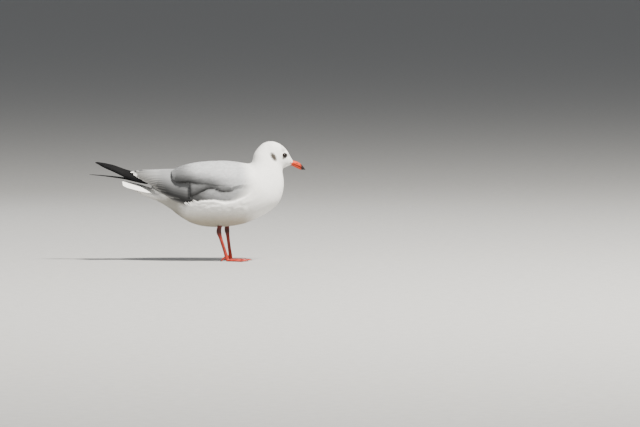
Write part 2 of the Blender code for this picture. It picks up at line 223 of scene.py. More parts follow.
def lamp(name, place, size, watts, colour):
    """A soft square lamp that looks at the bird's middle."""
    data = bpy.data.lights.new(name, "AREA")
    data.energy = watts
    data.size = size
    data.color = colour
    made = bpy.data.objects.new(name, data)
    made.location = place
    made.rotation_euler = (LAMP_AIM - Vector(place)).to_track_quat("-Z", "Y").to_euler()
    scene.collection.objects.link(made)


lamp("key_lamp", (2.16, -2.08, 4.32), 0.8, 1130, (1, 0.965, 0.9))
lamp("fill_lamp", (-1.6, -1.5, 1.2), 1.6, 5, (0.92, 0.96, 1))
lamp("back_lamp", (-0.6, 1.9, 1.6), 1.4, 16, (0.95, 0.97, 1))
print("studio lit")

# %% [markdown]
# ## Places on a drawing
# A bird's parts are easiest to place on a side view in millimetres. X is counted from a point between
# the legs, and the tail ends 192.5 mm behind it. Two functions lead from that drawing to the model and
# back, and all the tables below are in the drawing's millimetres.

# %% From the drawing to the model and back
TAIL_BEHIND = 192.5
DRAWN_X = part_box("tail")[0].x + TAIL_BEHIND * MM


def drawn(x, y, z):
    """A place on the drawing, in millimetres, as a point of the model."""
    return Vector((DRAWN_X + x * MM, y * MM, z * MM))


def on_drawing(points):
    """The drawing's x, y and z of points of the model."""
    return ((points - np.array((DRAWN_X, 0, 0))) / MM).T


def column(table, index):
    """One column of a table of rows."""
    return [row[index] for row in table]


def read_table(x, table, index=1):
    """The value of a table's column at x, straight between its rows. Rows are in the order of x."""
    return np.interp(x, column(table, 0), column(table, index))


def ease(values, low, high):
    """0 before low, 1 past high, and a soft rise between them."""
    share = np.clip((values - low) / (high - low), 0, 1)
    return share * share * (3 - 2 * share)


print(f"the drawing's X = 0 lies at {DRAWN_X:.4f} m")

# %% [markdown]
# ## The form under the plumage
# A skinned bird has no seams, so the named solids are fused into one form. Boolean unions would do that
# too, but a voxel remesh is surer on a shape like this: it fills the thin cuts and gives even faces. The
# form's surface is where the tips of the coat lie. Pulled in by the depth of the coat and smoothed, the
# same form is the skin.


# %% Copies of the solids
def one_bmesh(meshes):
    """One bmesh of several meshes, which are then removed."""
    whole = bmesh.new()
    for mesh in meshes:
        whole.from_mesh(mesh)
        bpy.data.meshes.remove(mesh)
    return whole


def merged_nodes(names, grow):
    """One bmesh of copies of CAD nodes, each grown outwards a little."""
    copies = []
    for name in names:
        part = bmesh.new()
        part.from_mesh(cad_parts[name].data)
        bmesh.ops.remove_doubles(part, verts=part.verts, dist=1e-6)
        part.normal_update()
        for vert in part.verts:
            vert.co += vert.normal * grow
        copies.append(as_mesh(part, name))
    return one_bmesh(copies)


FLESH = ("trunk", "neck", "head", "wing_left", "wing_right")
form = merged_nodes(FLESH, grow=0.25 * MM)
print(f"{len(FLESH)} solids of flesh, {len(form.faces)} faces")

# %% [markdown]
# ## Soft forms that the solids leave out
# The scapulars of both sides meet over the back, so the groove between the wings is filled. The under
# tail coverts hang as a soft wedge below the tail, and the feathered thighs fill the hollows round the
# legs. Each is a tube: ovals one behind the other, bridged and closed, that the remesh then melts into
# the form.


# %% Tubes of ovals
def oval(middle, across, up, count):
    """Points round an oval, from its middle and its two half axes."""
    middle, across, up = np.array(middle), np.array(across), np.array(up)
    return [middle + across * math.cos(turn) + up * math.sin(turn)
            for turn in np.linspace(0, FULL_TURN, count, endpoint=False)]


def add_tube(bm, rings):
    """Adds rings of points to a bmesh, bridges each to the next, and closes both ends."""
    loops = []
    for ring in rings:
        verts = [bm.verts.new(point) for point in ring]
        loops.append([bm.edges.new(pair) for pair in zip(verts, verts[1:] + verts[:1])])
    bands, caps = [], []
    for first, second in zip(loops, loops[1:]):
        bands += bmesh.ops.bridge_loops(bm, edges=first + second)["faces"]
    for end in (loops[0], loops[-1]):
        caps += bmesh.ops.contextual_create(bm, geom=end)["faces"]
    bmesh.ops.recalc_face_normals(bm, faces=bands + caps)
    # The quads of a band aren't flat, so the diagonal that splits each of them is chosen here.
    bmesh.ops.triangulate(bm, faces=bands, quad_method="ALTERNATE")
    return bm


print("an oval starts at", oval((0, 0, 0), (2, 0, 0), (0, 1, 0), 16)[0].tolist())

# %% Tubes for the back, the vent and the thighs
# Rows are x, top z and half width. Each ring is 9 mm deep.
BACK_FILL = (
    (-12, 174.5, 9), (-34, 177, 9), (-50, 176, 10), (-64, 174.2, 11), (-76, 171.8, 11), (-86, 168.6, 12),
    (-95, 165, 12), (-101, 161, 11),
)
BACK_DEPTH = 9
# Rows are x, lowest z, highest z and half width.
VENT_FILL = (
    (-98, 88, 118, 18), (-106, 92.6, 120, 19), (-118, 100.6, 123, 18.5), (-130, 107.2, 124, 18),
    (-140, 111.4, 124.5, 16.5), (-152, 116, 127, 14), (-162, 120.4, 128.6, 10.5), (-168, 123.6, 128.2, 6),
    (-170.5, 125.4, 127.6, 2.5),
)
# Rows are height and radius.
THIGHS = ((-5.6, 20.8), (-17.6, -20.8))
THIGH_FILL = ((82, 5.2), (74, 6.2), (68, 5.8), (64, 4.8))

tubes = [[oval((x, y, z), (half, 0, 0), (0, half, 0), 16) for z, half in THIGH_FILL] for x, y in THIGHS]
tubes.append([oval((x, 0, (low + high) / 2), (0, half, 0), (0, 0, (high - low) / 2), 24)
              for x, low, high, half in VENT_FILL])
tubes.append([oval((x, 0, top - BACK_DEPTH), (0, half, 0), (0, 0, BACK_DEPTH), 16)
              for x, top, half in BACK_FILL])
for tube in tubes:
    add_tube(form, [[drawn(*point) for point in ring] for ring in tube])
print(f"{len(tubes)} tubes added")


# %% Fuse the solids
def remeshed(bm, voxel):
    """A bmesh with one even skin round all the shells of another, which is freed."""
    draft = bpy.data.objects.new("draft", as_mesh(bm, "draft"))
    scene.collection.objects.link(draft)
    modifier = draft.modifiers.new("remesh", "REMESH")
    modifier.mode = "VOXEL"
    modifier.voxel_size = voxel
    shaped = draft.evaluated_get(bpy.context.evaluated_depsgraph_get())
    made = bpy.data.meshes.new_from_object(shaped)
    mesh = draft.data
    bpy.data.objects.remove(draft)
    bpy.data.meshes.remove(mesh)
    return one_bmesh([made])


def keep_largest_shell(bm):
    """Deletes all but the largest connected piece."""
    left, shells = set(bm.verts), []
    while left:
        shell = [left.pop()]
        for vert in shell:
            others = [edge.other_vert(vert) for edge in vert.link_edges]
            others = [other for other in others if other in left]
            left.difference_update(others)
            shell.extend(others)
        shells.append(shell)
    shells.sort(key=len)
    for shell in shells[:-1]:
        bmesh.ops.delete(bm, geom=shell, context="VERTS")


FORM_VOXEL = 1.5 * MM
form = remeshed(form, FORM_VOXEL)
keep_largest_shell(form)
print(f"form of {len(form.faces)} faces, {time.time() - STARTED:.1f} s")

# %% [markdown]
# ## Smoothing
# A voxel remesh leaves small steps, and plumage is round where one solid meets the next. Moving each
# point towards the mean of its neighbours smooths both. Where the coat runs smooth more rounds are
# given, and the ridge of the back gets the most.


# %% Smooth the form
def soften(bm, rounds, chosen=None):
    """Smooths the points that chosen picks by their place, or all of them."""
    verts = [v for v in bm.verts if chosen is None or chosen(v.co)]
    for _ in range(rounds):
        bmesh.ops.smooth_vert(bm, verts=verts, factor=0.5, use_axis_x=True, use_axis_y=True, use_axis_z=True)


def where_coat_runs_smooth(co):
    """All but the hind edge of the folded wing, where the scapulars stand proud."""
    return co.x > drawn(-52, 0, 0).x or co.z < 98 * MM


def ridge_of_back(co):
    """The groove between the folded wings, which the mantle covers."""
    return abs(co.y) < 13 * MM and co.x < drawn(-20, 0, 0).x and co.z > 150 * MM


soften(form, 3)
soften(form, 14, where_coat_runs_smooth)
soften(form, 30, ridge_of_back)
form.normal_update()
print(f"form softened, {time.time() - STARTED:.1f} s")

# %% [markdown]
# ## Groups of feathers on the folded wing
# A folded wing shows its feathers in groups that lap over each other: the scapulars lie over the greater
# coverts, those over the lesser ones, and the white feathers of the flank close over the wing's lower
# edge like a pocket. Each group's edge is a line on the side view. The form could be sculpted by hand
# there. Raising or sinking it by a millimetre or two along these lines does the same by rule, on both
# sides alike, so that each group casts its own soft shadow.

# %% Edges of the groups
SCAPULAR_EDGE = (
    (-106, 146), (-99, 141), (-93.6, 139.4), (-72.5, 141), (-60, 138.5), (-40, 137), (-20, 134.5),
    (5, 134), (22, 138),
)
COVERT_EDGE = (
    (-71, 115), (-62, 117.5), (-50, 124), (-40, 128.5), (-33, 130), (-27, 129), (-14, 124.3), (3, 125),
    (14, 131),
)
COVERTS_END = COVERT_EDGE[0][0]
FLANK_EDGE = (
    (-86, 96), (-78, 101), (-69, 105.6), (-50, 109.7), (-28, 111), (-14.6, 107.7), (-6.4, 106.3),
    (6, 108.3), (18, 112.4), (27, 116), (36, 124),
)
QUILL_EDGE = ((-177, 152.6), (-154, 136), (-130, 124), (-100, 108.4), (-66, 96))


def over_edges(x, z):
    """Millimetres above the scapulars' edge, inside the coverts' edges and below the flank's edge."""
    scapular = z - read_table(x, SCAPULAR_EDGE)
    covert = np.minimum(z - read_table(x, COVERT_EDGE), x - COVERTS_END)
    return scapular, covert, read_table(x, FLANK_EDGE) - z


print("at x -40 and z 121 the edges are", [round(float(gap), 1) for gap in over_edges(-40, 121)], "mm away")

# %% Raise and sink the groups
SCAPULARS_PROUD, COVERTS_PROUD, FLANK_PROUD, CLUMPS_PROUD = 1.9, 1.5, 2.3, 0.9
QUILLS_SUNK = 5.5
CLUMP_SIZE = (9, 8, 5)


def relief(x, y, z):
    """How far the groups stand out from the form, and how far it sinks for the quills, in millimetres."""
    scapular, covert, flank = over_edges(x, z)
    raised = SCAPULARS_PROUD * ease(scapular, -0.3, 3.5) * ease(scapular, 30, 10) * ease(x, 18, -30)
    coverts = COVERTS_PROUD * ease(covert, -0.3, 3.2) * ease(x, 16, -16)
    coverts = coverts * (0.35 + 0.65 * ease(-scapular, 0, 9))
    raised = raised + coverts * (scapular < 0)
    # The plumage of the flank and the belly lies in soft clumps.
    clumps = np.array([noise.noise(place) for place in np.stack([x, y, z], 1) / CLUMP_SIZE])
    raised = raised + CLUMPS_PROUD * clumps * ease(flank, 1, 6) * ease(z, 52, 64) * ease(x, 52, 20)
    flanks = FLANK_PROUD * ease(flank, -0.3, 2.6) * ease(flank, 32, 9) * ease(x, 40, 22) * ease(x, -90, -76)
    sunk = QUILLS_SUNK * ease(COVERTS_END - x, -0.4, 2.2) * (scapular < 0)
    sunk = sunk * ease(z - read_table(x, QUILL_EDGE), 1, 9)
    return (raised + flanks) * ease(np.abs(y), 8, 16), sunk * ease(np.abs(y), 4, 10)


outwards, inwards = relief(*on_drawing(np.array([v.co for v in form.verts])))
for vert, out, back in zip(form.verts, outwards, inwards):
    vert.co += vert.normal * (out * MM)
    vert.co.y -= math.copysign(back * MM, vert.co.y)
soften(form, 1)
print(f"groups stand out by up to {outwards.max():.1f} mm")

# %% [markdown]
# ## Places on the head
# The head is turned 14 degrees to the bird's left. All its places are drawn as if it looked straight
# ahead and then turned about an upright axis through the neck, so both sides stay alike. The eyes face
# sideways, a little forwards and a little up.

# %% Places on the head
HEAD_YAW = math.radians(14)
HEAD_TURN = Matrix.Rotation(HEAD_YAW, 3, "Z")
HEAD_AXIS = 62
EYE = (93.6, 13.3, 188)
EYE_RADIUS = 5.6 * MM
LID_RADIUS = 4.2 * MM


def turned(x, y, z):
    """A place on the head as drawn straight ahead, turned with the head."""
    return HEAD_TURN @ Vector((x - HEAD_AXIS, y, z)) + Vector((HEAD_AXIS, 0, 0))


eye_axes = {side: HEAD_TURN @ Vector((0.2, side, 0.1)).normalized() for side in (LEFT, RIGHT)}
eye_middles = {side: drawn(*turned(EYE[0], EYE[1] * side, EYE[2])) for side in (LEFT, RIGHT)}
print("eyes", round((eye_middles[LEFT] - eye_middles[RIGHT]).length / MM, 1), "mm apart")

# %% [markdown]
# ## Shaping the face
# Round each eye the feathered skin swells to meet the lids, and towards the bill the forehead and the
# chin taper into it. Both are moves of the form's points by rule: outwards along the eye's axis by a
# table of swell against the distance from it, and inwards towards the axis of the bill.

# %% Swell round the eyes, taper to the bill
# How far the feathered skin stands out from the middle of the eyeball, by the distance from its axis.
EYE_SWELL = ((0, 4.2), (4.3, 4.6), (5.2, 4.4), (6.2, 3.5), (7.5, 2.1), (9.5, 0))
SWELL_REACH = EYE_SWELL[-1][0] * MM
TAPER_LENGTH, TAPER_PAST = 18 * MM, 4 * MM
PINCH, CHIN_PINCH = 0.35, 0.18
bill_root = drawn(*turned(116, 0, 174.4))
bill_way = HEAD_TURN @ Vector((1, 0, -0.12)).normalized()


def swell_round_eye(vert, side):
    """Lifts a point to the swell round an eye, softly at the swell's outer edge."""
    offset = vert.co - eye_middles[side]
    height = offset.dot(eye_axes[side])
    ring = (offset - eye_axes[side] * height).length
    if height > -4 * MM and ring < SWELL_REACH:
        swell = float(read_table(ring / MM, EYE_SWELL)) * MM
        if swell > height:
            vert.co += eye_axes[side] * (swell - height) * (1 - ring / SWELL_REACH) ** 0.3


def taper_to_bill(vert):
    """Draws a point in towards the bill's axis, less under it than over it."""
    offset = vert.co - bill_root
    ahead = offset.dot(bill_way)
    if -TAPER_LENGTH < ahead < TAPER_PAST:
        across = offset - bill_way * ahead
        under = max(0, min(1, -across.z / (3 * MM)))
        pinch = PINCH - (PINCH - CHIN_PINCH) * under
        vert.co -= across * pinch * min(1, (ahead + TAPER_LENGTH) / TAPER_LENGTH) ** 1.6


face_start = drawn(70, 0, 0).x
for vert in form.verts:
    if vert.co.x >= face_start and vert.co.z >= 150 * MM:
        swell_round_eye(vert, LEFT)
        swell_round_eye(vert, RIGHT)
        taper_to_bill(vert)
soften(form, 2, lambda co: co.x > drawn(84, 0, 0).x and co.z > 150 * MM)
form.normal_update()
form_tree = BVHTree.FromBMesh(form)
print(f"head shaped, {time.time() - STARTED:.1f} s")

# %% [markdown]
# ## The lie of the feathers
# On a real bird every feather points away from the bill: back over the crown, down the neck, round the
# breast and on to the tail. Combing a coat by hand would take days. Instead a line down the middle of
# the body keeps those directions: each place on the form takes its direction, and its measure of how far
# it is from the bill, from the nearest stretch of that line.

# %% The line of the spine
SPINE = (
    (118, 12, 172), (108, 10.5, 180), (97, 8, 186), (84, 5, 189), (72, 2.5, 186), (63, 1, 177),
    (57, 0, 164), (48, 0, 148), (34, 0, 134), (14, 0, 125), (-12, 0, 120), (-40, 0, 118),
    (-72, 0, 119), (-100, 0, 123), (-128, 0, 128), (-160, 0, 134), (-200, 0, 142),
)
SPINE_BLUR = 2 * MM


def unit(vectors):
    """Vectors brought to a length of one."""
    return vectors / np.maximum(np.linalg.norm(vectors, axis=-1, keepdims=True), 1e-12)


def level_with(normals, ways):
    """Directions laid flat on a surface with these normals."""
    return unit(ways - normals * (ways * normals).sum(1, keepdims=True))


spine = np.array([drawn(*row) for row in SPINE])
spine_steps = np.diff(spine, axis=0)
spine_lengths = np.linalg.norm(spine_steps, axis=1)
spine_marks = np.concatenate([[0], np.cumsum(spine_lengths)])
spine_ways = unit(np.gradient(spine, axis=0))
print(f"spine {spine_marks[-1] / MM:.0f} mm long")


# %% Places along the spine
def along_spine(points):
    """Distance from the bill along the spine, and the direction of the spine there."""
    offsets = points[:, None, :] - spine[None, :-1, :]
    shares = (offsets * spine_steps).sum(-1) / spine_lengths**2
    shares = np.clip(shares, 0, 1)
    gaps = np.linalg.norm(offsets - shares[..., None] * spine_steps, axis=-1)
    # Weighting all stretches by nearness keeps the directions smooth at the bends.
    weights = 1 / (gaps + SPINE_BLUR) ** 6
    weights /= weights.sum(1, keepdims=True)
    marks = ((spine_marks[:-1] + shares * spine_lengths) * weights).sum(1)
    ways = spine_ways[:-1] * (1 - shares[..., None]) + spine_ways[1:] * shares[..., None]
    return marks, unit((ways * weights[..., None]).sum(1))


def marks_of(points):
    """Millimetres from the bill along the spine."""
    return along_spine(points)[0] / MM


print(f"the legs stand at {marks_of(np.array([drawn(0, 0, 60)]))[0]:.0f} mm along it")

# %% [markdown]
# ## Which group a feather belongs to
# The same edges that raised the groups also sort the feathers into them. Feathers of each group lean a
# little further down or up than the spine does, as they do on a folded wing, and at the throat they turn
# down. What lies under the long quills of the wing is hidden, and grows nothing.

# %% Groups and directions
BODY, LESSER, FLANK, GREATER, MANTLE, HIDDEN = range(6)
# How far the feathers of each group lean up.
LEAN = np.array((0, -0.12, 0.1, -0.4, -0.22, 0))
THROAT_DROOP, REAR_DROOP = 1.3, 1.2
FLANK_DEEP = 26
WING_FRONT, MANTLE_END = 34, -106


def group_of(points):
    """The group that each place on the form belongs to."""
    x, y, z = on_drawing(points)
    scapular, covert, flank = over_edges(x, z)
    group = np.where(covert > 0, GREATER, LESSER)
    group = np.where(flank > 0, FLANK, group)
    group = np.where(scapular > 0, MANTLE, group)
    group = np.where((x < COVERTS_END) & (scapular < 0), np.where(flank > 0, FLANK, BODY), group)
    group = np.where((group == FLANK) & (flank > FLANK_DEEP), BODY, group)
    group = np.where((x > WING_FRONT) | (x < MANTLE_END), BODY, group)
    quills = (x < COVERTS_END - 1.5) & (scapular < -2) & (z > read_table(x, QUILL_EDGE) + 5)
    return np.where(quills & (np.abs(y) > 8), HIDDEN, group)


def lie_of_coat(points, normals):
    """The way the feathers point at places on the form, along its surface."""
    ways = along_spine(points)[1]
    x, _, z = on_drawing(points)
    ways[:, 2] += LEAN[group_of(points)] * ease(x, 20, -30)
    throat = ease(x, 48, 66) * ease(z, 180, 168)
    ways[:, 2] -= THROAT_DROOP * throat
    # Where the form looks back, as behind the scapulars, the feathers hang down.
    looks_back = ease(-normals[:, 0], 0.3, 0.75) * ease(x, -50, -62) * (z > 130)
    ways[:, 2] -= REAR_DROOP * looks_back
    return level_with(normals, ways)


form_points = np.array([v.co for v in form.verts])
print("places in each group:", np.bincount(group_of(form_points)).tolist())

# %% [markdown]
# ## Colours and markings
# Winter dress is white with a pale grey mantle and wings, a dark spot behind the ear, and faint dusky
# shades over the crown and in front of the eye. A painted picture would need a flat map without seams.
# Here the colour is a function of place, and skin and feathers both take their tint from it, so the
# marks agree.

# %% Where the bird is grey
WHITE = np.array((0.90, 0.89, 0.86))
GREY = np.array((0.27, 0.275, 0.282))
# Rows are height and how far forward the grey reaches.
GREY_FRONT = ((104, -30), (110, 18), (118, 31), (132, 41), (150, 44), (166, 42), (174, 36))
# Painted shade at the lower hem of the mantle: how light the grey is there, by x.
HEM_PAINTED_SHADE = (
    (-89, 0.16), (-71, 0.14), (-62, 0.16), (-53, 0.24), (-41, 0.33), (-28, 0.4), (-14, 0.8), (0, 1.2),
    (22, 1.6),
)


def grey_share(points):
    """1 on the mantle and the folded wings, 0 on the white of the body."""
    x, y, z = on_drawing(points)
    _, _, flank = over_edges(x, z)
    share = ease(read_table(z, GREY_FRONT) - x, -6, 26) * ease(-flank, -0.6, 0.9)
    over_quills = ease(z - read_table(x, QUILL_EDGE), 0, 5)
    share = np.where(x < COVERTS_END, np.minimum(share, over_quills), share)
    rump = ease(x, -96, -104) * ease(np.abs(y), 16, 10) * ease(z, 161, 157)
    return share * (1 - rump)


def grey_painted_shade(points):
    """How light the grey is: pale on the mantle, with painted shade along the groups' hind and lower edges.
    """
    x, _, z = on_drawing(points)
    scapular, covert, flank = over_edges(x, z)
    # Painted shade: the mantle darkens to its rear and lower hem, and its blunt rear end is painted lighter.
    crest = 0.55 + 1.05 * ease(x, -90, -56)
    mantle = crest - (crest - read_table(x, HEM_PAINTED_SHADE)) * ease(scapular, 29, 3)
    mantle = mantle * (1 + 1.4 * ease(x, -93, -102) * ease(scapular, 24, 8))
    # Painted shade: the greater coverts darken to the rear, towards their lower edge and at their hind end.
    above = z - read_table(x, COVERT_EDGE)
    coverts = (0.7 - 0.3 * ease(x, 8, -36)) * (1 - 0.68 * ease(above, 13, 1) * ease(x, 20, -6))
    coverts = coverts * (0.5 + 0.5 * ease(x, COVERTS_END, COVERTS_END + 5))
    # Painted shade: the lesser coverts darken to the rear and just above the flank's edge.
    lesser = (1.3 - 0.95 * ease(x, -26, -60)) * (1 - 0.45 * ease(-flank, 11, 1))
    depth = np.where(covert > 0, coverts, lesser)
    depth = np.where(scapular > 0, mantle, depth)
    # Painted shade on the ledge under the scapulars' hind end.
    return np.where((x < COVERTS_END) & (scapular < 0), 0.5, depth)


print(f"{(grey_share(form_points) > 0.5).mean():.0%} of the form's points are grey")

# %% Marks of the head
DUSK = np.array((0.036, 0.028, 0.021))
# The ear spot's x, z and half sizes. It leans back as it rises.
EAR_SPOT = (73.2, 186.2, 4.4, 6.8)
EAR_LEAN = 0.42
# Faint marks near the eye: x, z, half sizes, where each fades out and in, least |y| and strength.
EYE_MARKS = (
    (101, 188.5, 4.5, 3.6, 1.25, 0.4, 4, 0.36),
    (92.5, 198, 5.5, 5, 1.2, 0.3, 3, 0.4),
    (91.6, 183.4, 2.4, 2.6, 1.2, 0.5, 6, 0.75),
)


def unturned(points):
    """Places on the drawing of points of the model, with the head turned back to straight ahead."""
    x, y, z = on_drawing(points)
    turn = HEAD_YAW * ease(marks_of(points), 95, 55)
    ahead = x - HEAD_AXIS
    return HEAD_AXIS + ahead * np.cos(turn) + y * np.sin(turn), y * np.cos(turn) - ahead * np.sin(turn), z


def head_dusk(x, y, z):
    """How dark the marks of the head are, from 0 to 1."""
    ear_x, ear_z, ear_long, ear_tall = EAR_SPOT
    ear = ((x - ear_x + EAR_LEAN * (z - ear_z)) / ear_long) ** 2 + ((z - ear_z) / ear_tall) ** 2
    crown = ease(np.abs(x - 91 + 0.25 * (206 - z)), 5, 0.5) * ease(z, 193, 199)
    nape = ease(np.abs(x - 68), 7, 1) * ease(z, 192, 200)
    marks = [0.985 * ease(ear, 2.3, 0.3) * (np.abs(y) > 6), 0.17 * crown, 0.08 * nape]
    for mark_x, mark_z, long, tall, out, full, aside, strength in EYE_MARKS:
        reach = np.hypot((x - mark_x) / long, (z - mark_z) / tall)
        marks.append(strength * ease(reach, out, full) * (np.abs(y) > aside))
    return np.maximum.reduce(marks)


print(f"the ear spot is {head_dusk(EAR_SPOT[0], 10, EAR_SPOT[1]):.0%} dark in its middle")

# %% Tint of the plumage
# Painted shade on the underparts: the share of each colour that is taken away.
BELLY_PAINTED_SHADE = np.array((0.58, 0.62, 0.69))
VENT_PAINTED_SHADE = np.array((0.6, 0.61, 0.64))
# Rows are x and the height below which the vent is painted in shade.
VENT_TOP = ((-160, 127), (-134, 120), (-112, 121), (-96, 134))


def blend(first, second, share):
    """Colours between two others, by a share for each point."""
    return first * (1 - share[:, None]) + second * share[:, None]


def plumage_tint(points):
    """Colour of the plumage at points of the model."""
    x, y, z = unturned(points)
    grey = grey_share(points)
    tint = blend(WHITE, GREY * grey_painted_shade(points)[:, None], grey)
    # Painted shade: the white of the lower belly, and of the vent under the tail, is darkened as if in
    # shadow.
    belly = ease(z, 100, 68) * ease(x, 60, 20) * (1 - grey)
    tint = tint * (1 - BELLY_PAINTED_SHADE * belly[:, None])
    vent = ease(x, -74, -96) * ease(read_table(x, VENT_TOP) - z, 0, 16) * (1 - grey)
    tint = tint * (1 - VENT_PAINTED_SHADE * vent[:, None])
    return blend(tint, DUSK, head_dusk(x, y, z))


print("the crown's colour:", plumage_tint(np.array([drawn(80, 6, 210)])).round(2).tolist()[0])

# %% [markdown]
# ## A flat map for the bake
# When the model's colours are baked, each point needs its own place on a flat picture. An automatic
# unwrap would cut the body anywhere. This map is cut along the back and the belly, like a filleted
# skin: one half for each side, with the spine's length across and the way round the body upwards. The
# feathers' own patches are placed on it too.


# %% The flat map of the body
def chart(points, side):
    """Map places on the left or right half for points of the form."""
    marks, ways = along_spine(points)
    centres = np.stack([np.interp(marks, spine_marks, spine[:, k]) for k in range(3)], 1)
    offsets = points - centres
    ups = np.cross(np.array((0.0, 1.0, 0.0)), ways)
    angles = np.arctan2(side * offsets[:, 1], (offsets * ups).sum(1))
    angles = np.where(angles < -math.pi / 2, angles + FULL_TURN, angles)
    across = 0.01 + 0.48 * marks / spine_marks[-1] + np.where(side > 0, 0, 0.5)
    upwards = 0.24 + 0.72 * np.clip(angles / math.pi, -0.04, 1.04)
    return np.stack([across, upwards], 1)


print("the body's map is cut at the back and the belly")


# %% Read a mesh and give it a map
def read_out(items, key, width=1, kind=float):
    """One property of all the points, corners or faces of a mesh."""
    values = np.empty(len(items) * width, kind)
    items.foreach_get(key, values)
    return values.reshape(-1, width) if width > 1 else values


def mesh_points(mesh):
    """The places of a mesh's points."""
    return read_out(mesh.vertices, "co", 3)


def set_map(mesh, name, places):
    """Gives a mesh a flat map, from a place for each corner of its faces."""
    mesh.uv_layers.new(name=name).data.foreach_set("uv", places.ravel())


def corners_of(mesh):
    """The point at each corner of a mesh's faces, and the face that the corner belongs to."""
    totals = read_out(mesh.polygons, "loop_total", kind=int)
    return read_out(mesh.loops, "vertex_index", kind=int), np.repeat(np.arange(len(totals)), totals)


def chart_faces(mesh):
    """Gives a mesh of the body its flat maps, each face on the half that its middle lies on."""
    points = mesh_points(mesh)
    corners, face_of = corners_of(mesh)
    is_left = read_out(mesh.polygons, "center", 3)[face_of, 1] > 0
    places = np.where(is_left[:, None], chart(points, LEFT)[corners], chart(points, RIGHT)[corners])
    set_map(mesh, "OFBake", places)
    set_map(mesh, "Vane", places * 300)


print("maps: OFBake, Vane")

# %% [markdown]
# ## The finish of plumage
# Feathers are matt, with a faint silky gloss. Each piece carries its colour as an attribute named Tint,
# and an attribute named Feather says how far aside and along its feather a point is, and gives each
# feather a number. The material only varies those: barbs that leave the shaft at a slant, pale fringes,
# a faint mottle, and each feather a shade lighter or darker.


# %% Attributes of a piece
def set_tint(mesh, tints):
    """Gives each point of a mesh its colour."""
    layer = mesh.attributes.new("Tint", "FLOAT_COLOR", "POINT")
    layer.data.foreach_set("color", np.hstack([tints, np.ones((len(tints), 1))]).ravel())


def set_feather(mesh, values):
    """How far aside and along its feather each point is, and a number for the feather."""
    layer = mesh.attributes.new("Feather", "FLOAT_VECTOR", "POINT")
    layer.data.foreach_set("vector", values.ravel())


def toned_tint(tree, shader, tone):
    """Makes a piece's own tint, darkened or lightened by a tone, the colour of the shader."""
    tint = add_node(tree, "ShaderNodeAttribute", attribute_name="Tint").outputs["Color"]
    tone_colour = add_node(tree, "ShaderNodeCombineColor", dict.fromkeys(range(3), tone)).outputs[0]
    tree.links.new(mixed(tree, 1.0, tint, tone_colour, "MULTIPLY"), shader.inputs["Base Color"])


def parts_of(tree, vector):
    """The three parts of a vector."""
    return add_node(tree, "ShaderNodeSeparateXYZ", {"Vector": vector}).outputs


def feather_parts(tree):
    """Aside, along and the feather's number, from the piece's attribute."""
    return parts_of(tree, add_node(tree, "ShaderNodeAttribute", attribute_name="Feather").outputs["Vector"])


def vane_run(tree):
    """Millimetres across and along, from the piece's map named Vane."""
    return parts_of(tree, add_node(tree, "ShaderNodeUVMap", uv_map="Vane").outputs[0])


print("attributes: Tint, Feather")

# %% Plumage
BARBS_PER_MM = 19.0 / FULL_TURN
BARB_HEIGHT = 0.000025


def plumage_material(name, gloss):
    """Feathers of the piece's own tint, with barbs, pale fringes and a faint mottle."""
    material, tree, shader = node_material(name, 0.6, Specular_IOR_Level=gloss)
    aside, _, number = feather_parts(tree)
    across, along, _ = vane_run(tree)
    # Barbs leave the shaft at a slant and reach towards the tip.
    slant = maths(tree, "SUBTRACT", along, maths(tree, "MULTIPLY", maths(tree, "ABSOLUTE", across), 0.9))
    wobble = maths(tree, "MULTIPLY", noise_on(tree, 260), 0.8)
    phase = maths(tree, "MULTIPLY", maths(tree, "ADD", slant, wobble), BARBS_PER_MM * FULL_TURN)
    barbs = remap(tree, maths(tree, "SINE", phase), -1, 1)
    tone = remap(tree, noise_on(tree, 45), 0.3, 0.7, 0.965, 1.02)
    for part in (
        remap(tree, number, 0, 1, 0.96, 1.02),
        remap(tree, maths(tree, "ABSOLUTE", aside), 0.5, 1.0, 0.985, 1.06),
        remap(tree, barbs, 0, 1, 0.975, 1.01),
    ):
        tone = maths(tree, "MULTIPLY", tone, part)
    toned_tint(tree, shader, tone)
    bump(tree, shader, barbs, BARB_HEIGHT, 0.6)
    return material


plumage = plumage_material("plumage", 0.2)
dark_quill = plumage_material("dark_quill", 0.06)
print(f"plumage with {BARBS_PER_MM:.1f} barbs to a millimetre")

# %% [markdown]
# ## One skin
# Under the coat one skin runs from the bill to the tail. It is the form pulled in by the depth of the
# coat, which grows from a third of a millimetre on the face to one on the belly, and smoothed. It has
# the plumage's own colours, a little darker, so that nothing pale or bare shows between the feathers.

# %% Skin
SKIN_SHADE = 0.9
# Rows are the distance from the bill and the depth.
COAT_DEPTH = ((12, 0.3), (40, 0.4), (80, 0.55), (120, 0.75), (160, 0.9), (260, 1.0))


def coat_depth(points):
    """How deep the coat is at places on the form, in metres."""
    return read_table(marks_of(points), COAT_DEPTH) * MM


skin_bm = form.copy()
skin_bm.normal_update()
for vert, depth in zip(skin_bm.verts, coat_depth(form_points)):
    vert.co -= vert.normal * depth
soften(skin_bm, 8)
bmesh.ops.recalc_face_normals(skin_bm, faces=skin_bm.faces)
skin_mesh = as_mesh(skin_bm, "skin")
chart_faces(skin_mesh)
points = mesh_points(skin_mesh)
set_tint(skin_mesh, plumage_tint(points) * SKIN_SHADE)
set_feather(skin_mesh, np.full((len(points), 3), 0.5))
print(f"skin of {len(skin_mesh.polygons)} faces")

# %% [markdown]
# ## Lids
# A gull's lids close round the eye in a soft dark ring that is a little longer than it is high. A ring
# with a rounded section is best made by a spin: the section is drawn once and carried round the eye's
# axis. The rim is dark and bare, and its outer part takes the colour of the plumage.

